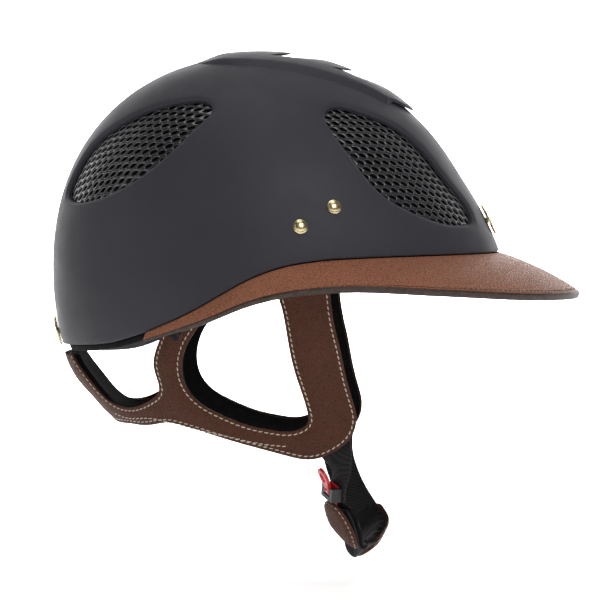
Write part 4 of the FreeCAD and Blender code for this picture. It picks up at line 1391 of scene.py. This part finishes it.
def dome_band(low, high, outer, inner, columns, rows):
    """Closed ring inside the shell between two heights above the rim and two insets."""
    sections = []
    for i in range(columns):
        turn = math.tau * i / columns - math.pi
        base = rim_height(turn)
        section = [dome_point(turn, base + low + (high - low) * j / rows, outer) for j in range(rows + 1)]
        section += [dome_point(turn, base + low + (high - low) * j / rows, inner)
                    for j in range(rows, -1, -1)]
        sections.append(section)
    return loft(sections, closed_loop=True)


columns = 220
verts, faces = dome_band(-1.2, 29.0, 24.0, 27.4, columns, 12)
headband = piece("headband", verts, faces, LINING, "helmet", ["headband_pad"])


def headband_seam(p):
    turn = math.atan2(p.y, p.x)
    place = (turn / math.tau * 12 + 0.5) % 1
    near = min(place, 1 - place) * math.tau * 90 / 12
    return 1 - smooth(0.6, 2.6, near)


puffed(headband, 3.4, 3.0, 1.2, headband_seam)


def crown_disc():
    rings, spokes = 14, 72
    sections = []
    for i in range(spokes):
        angle = math.tau * i / spokes
        outer_line, inner_line = [], []
        for j in range(rings + 1):
            reach = 50 * j / rings
            x, y = -5 + reach * math.cos(angle), reach * math.sin(angle)
            base = roof(x, y)
            normal = roof_normal(x, y)
            outer_line.append(base - normal * 24.0)
            inner_line.append(base - normal * 27.4)
        sections.append(outer_line + inner_line[::-1])
    return loft(sections, closed_section=False, closed_loop=True)


verts, faces = crown_disc()
crown = piece("crown_cushion", verts, faces, LINING, "helmet", ["crown_pad"])


def crown_seam(p):
    reach = math.hypot(p.x + 5, p.y)
    return 1 - smooth(0.5, 2.4, min(abs(reach - 17), abs(reach - 34)))


puffed(crown, 3.4, 3.0, 1.2, crown_seam)

verts, faces = dome_band(-3.6, -0.15, 3.35, 22.6, columns, 3)
trim = piece("liner_hem", verts, faces, LINING, "helmet", ["liner_edge_trim"], sharp=40)
modifier(trim, "BEVEL", width=0.9 * MM, segments=3, limit_method="ANGLE")

RIVETS = [(22, 47), (41.5, 58.4)]
WEB_ENDS = {"rear": [(22, 47), (-4, 32), (-30, 11), (-50, -8), (-56, -17.5)],
            "front": [(41.5, 58.4), (36.5, 46), (32, 34), (29, 24.4)]}


def side_place(x, z, inset, left):
    """Point on a dome layer at a side-view place, and its outward normal."""
    low, high = -math.pi, 0.0
    for _ in range(40):
        middle = (low + high) / 2
        if dome_point(middle, z, inset).x < x:
            low = middle
        else:
            high = middle
    point = dome_point(low, z, inset)
    normal = dome_normal(low, z)
    if left:
        point.y, normal.y = -point.y, -normal.y
    return point, normal


for place, ends in WEB_ENDS.items():
    line = Spline([Vector((x, z, 0)) for x, z in ends]).even(3.0)
    for side in ("right", "left"):
        sections, flat = [], []
        for index, p in enumerate(line):
            point, normal = side_place(p.x, p.y, 3.55, side == "left")
            before, after = line[max(index - 1, 0)], line[min(index + 1, len(line) - 1)]
            run = side_place(after.x, after.y, 3.55, side == "left")[0] - \
                side_place(before.x, before.y, 3.55, side == "left")[0]
            width = run.cross(normal).normalized()
            profile = [(-6, 0.1), (-5.7, 0.0), (-2, 0.05), (2, 0.05), (5.7, 0.0), (6, 0.1), (6, 0.9),
                       (5.6, 1.0), (-5.6, 1.0), (-6, 0.9)]
            sections.append([point + width * a - normal * b for a, b in profile])
            flat += [(index * 3.0, a) for a, b in profile]
        verts, faces = loft(sections)
        name = "anchor_web_%s_%s" % (place, side)
        band = piece("hanger_%s_%s" % (place, side), verts, faces, WEBBING, "helmet", [name], sharp=45)
        if len(band.data.vertices) == len(flat):
            add_map(band, flat)

parts = []
for x, z in RIVETS:
    for left in (False, True):
        point, normal = side_place(x, z, 0, left)
        place = frame_at(point, normal)
        profile = [(1.75, -5.3), (1.75, 0.1), (4.1, 0.12), (4.28, 0.3), (4.28, 0.62), (4.0, 0.86),
                   (3.7, 0.92), (3.55, 1.02)]
        profile += [(3.55 * math.cos(a), 1.02 + 1.45 * math.sin(a)) for a in
                    [math.radians(d) for d in (10, 20, 32, 45, 58, 70, 82)]] + [(0, 2.47)]
        parts.append(lathe(profile, place, 40))
verts, faces = merge(parts)
piece("rivets", verts, faces, BRASS, "helmet", ["harness_rivets"], sharp=38)


def badge_frame(turn, height):
    point, normal = dome_point(turn, height, 0), dome_normal(turn, height)
    return frame_at(point, normal)


def rosette(radius, petals, rise, place, lift):
    """Raised plain rosette on a dished plate with a rope-like rim."""
    profile = [(1.8, -3.0), (1.8, 0.0), (radius - 0.4, 0.0), (radius, 0.3), (radius, 1.0),
               (radius - 0.4, 1.5), (radius - 0.9, 1.6), (radius - 1.4, 1.4), (radius - 1.7, 1.0),
               (radius * 0.62, 1.05), (0.0, 1.2)]
    parts = [lathe([(r, z + lift) for r, z in profile], place, 72)]
    for k in range(petals):
        angle = math.tau * k / petals
        way = Vector((math.cos(angle), math.sin(angle), 0))
        side = Vector((-way.y, way.x, 0))
        sections = []
        for i in range(9):
            share = i / 8
            reach = radius * (0.16 + 0.58 * share)
            wide = radius * 0.16 * math.sin(math.pi * (0.12 + 0.84 * share)) ** 0.8
            high = rise * math.sin(math.pi * (0.15 + 0.75 * share))
            ring = []
            for m in range(8):
                a = math.tau * m / 8
                ring.append(place @ (way * reach + side * (wide * math.cos(a)) +
                                     Vector((0, 0, lift + 1.0 + high * max(math.sin(a), -0.4)))))
            sections.append(ring)
        parts.append(loft(sections))
    boss = [(radius * 0.17, lift + 1.0)] + [(radius * 0.17 * math.cos(math.radians(d)),
                                             lift + 1.3 + radius * 0.14 * math.sin(math.radians(d)))
                                            for d in (0, 20, 40, 60, 80)] + [(0, lift + 1.3 + radius * 0.14)]
    parts.append(lathe(boss, place, 32))
    return merge(parts)


verts, faces = rosette(10, 8, 0.9, badge_frame(0, 48.5), 0.6)
piece("badge_front", verts, faces, BRASS, "helmet", ["front_badge"], sharp=35)
verts, faces = rosette(9.2, 8, 0.8, badge_frame(math.pi, -18.4), 0.5)
piece("badge_rear", verts, faces, BRASS, "helmet", ["rear_badge"], sharp=35)

# ------------------------------------------------------------------ floor, light and camera

FLOOR = -0.172


def light(name, place, aim, size, power, spread=180):
    data = bpy.data.lights.new(name, "AREA")
    data.shape = "RECTANGLE"
    data.size, data.size_y = size
    data.energy = power
    data.spread = math.radians(spread)
    lamp = bpy.data.objects.new(name, data)
    lamp.location = place
    lamp.rotation_euler = (Vector(aim) - Vector(place)).to_track_quat("-Z", "Y").to_euler()
    bpy.context.scene.collection.objects.link(lamp)


def build_floor():
    """Plain pale sheet that sweeps up behind the helmet."""
    profile = [Vector((-6.0, FLOOR)), Vector((2.2, FLOOR))]
    for step in range(1, 13):
        angle = math.pi / 2 * step / 12
        profile.append(Vector((2.2 + 1.2 * math.sin(angle), FLOOR + 1.2 * (1 - math.cos(angle)))))
    profile.append(Vector((3.4, 6.0)))
    verts = [(x, p.x, p.y) for p in profile for x in (-6.0, 6.0)]
    faces = [(2 * i, 2 * i + 1, 2 * i + 3, 2 * i + 2) for i in range(len(profile) - 1)]
    mesh = bpy.data.meshes.new("floor")
    mesh.from_pydata(verts, [], faces)
    floor = bpy.data.objects.new("floor", mesh)
    bpy.context.scene.collection.objects.link(floor)
    for polygon in mesh.polygons:
        polygon.use_smooth = True
    material, tree, shader, coord = new_material("studio_paper")
    set_shader(shader, 0.85)
    grain = node(tree, "TexNoise", [("Vector", coord)], in_Scale=60.0).outputs["Fac"]
    tree.links.new(ramp(tree, grain, [(0.3, grey(0.93)), (0.7, grey(0.96))]), shader.inputs["Base Color"])
    shader.inputs["Emission Color"].default_value = (1, 1, 1, 1)
    shader.inputs["Emission Strength"].default_value = 0.45
    mesh.materials.append(material)


build_floor()
light("key", (0.75, -1.6, 1.25), (0.05, 0.0, 0.03), (0.9, 0.9), 17)
light("side_left", (-1.7, -0.5, 0.4), (0.0, 0.0, 0.0), (0.6, 1.4), 3.5)
light("top", (0.0, -0.15, 1.8), (0.0, 0.0, 0.0), (1.2, 1.2), 9)
light("backdrop", (0.0, 1.6, 2.6), (0.0, 3.1, 0.0), (3.0, 0.6), 130, 90)
light("backdrop_low", (0.0, 1.0, 1.8), (0.0, 1.4, FLOOR), (3.0, 0.6), 26, 80)

world = bpy.data.worlds.new("studio")
bpy.context.scene.world = world
world.use_nodes = True
world.node_tree.nodes["Background"].inputs["Color"].default_value = (1, 1, 1, 1)
world.node_tree.nodes["Background"].inputs["Strength"].default_value = 0.12
bpy.context.scene.view_settings.view_transform = "Standard"

CAMERA_TURN, CAMERA_RISE, CAMERA_FAR, CAMERA_LENS = math.radians(2), math.radians(2.3), 3.0, 297
target = Vector((0.0182, 0, 0))
back = Vector((math.sin(CAMERA_TURN) * math.cos(CAMERA_RISE), -math.cos(CAMERA_TURN) * math.cos(CAMERA_RISE),
               math.sin(CAMERA_RISE)))
camera_data = bpy.data.cameras.new("camera")
camera_data.lens = CAMERA_LENS
camera_data.sensor_width = 36
camera = bpy.data.objects.new("camera", camera_data)
camera.location = target + back * CAMERA_FAR
camera.rotation_euler = back.to_track_quat("Z", "Y").to_euler()
bpy.context.scene.collection.objects.link(camera)
bpy.context.scene.camera = camera
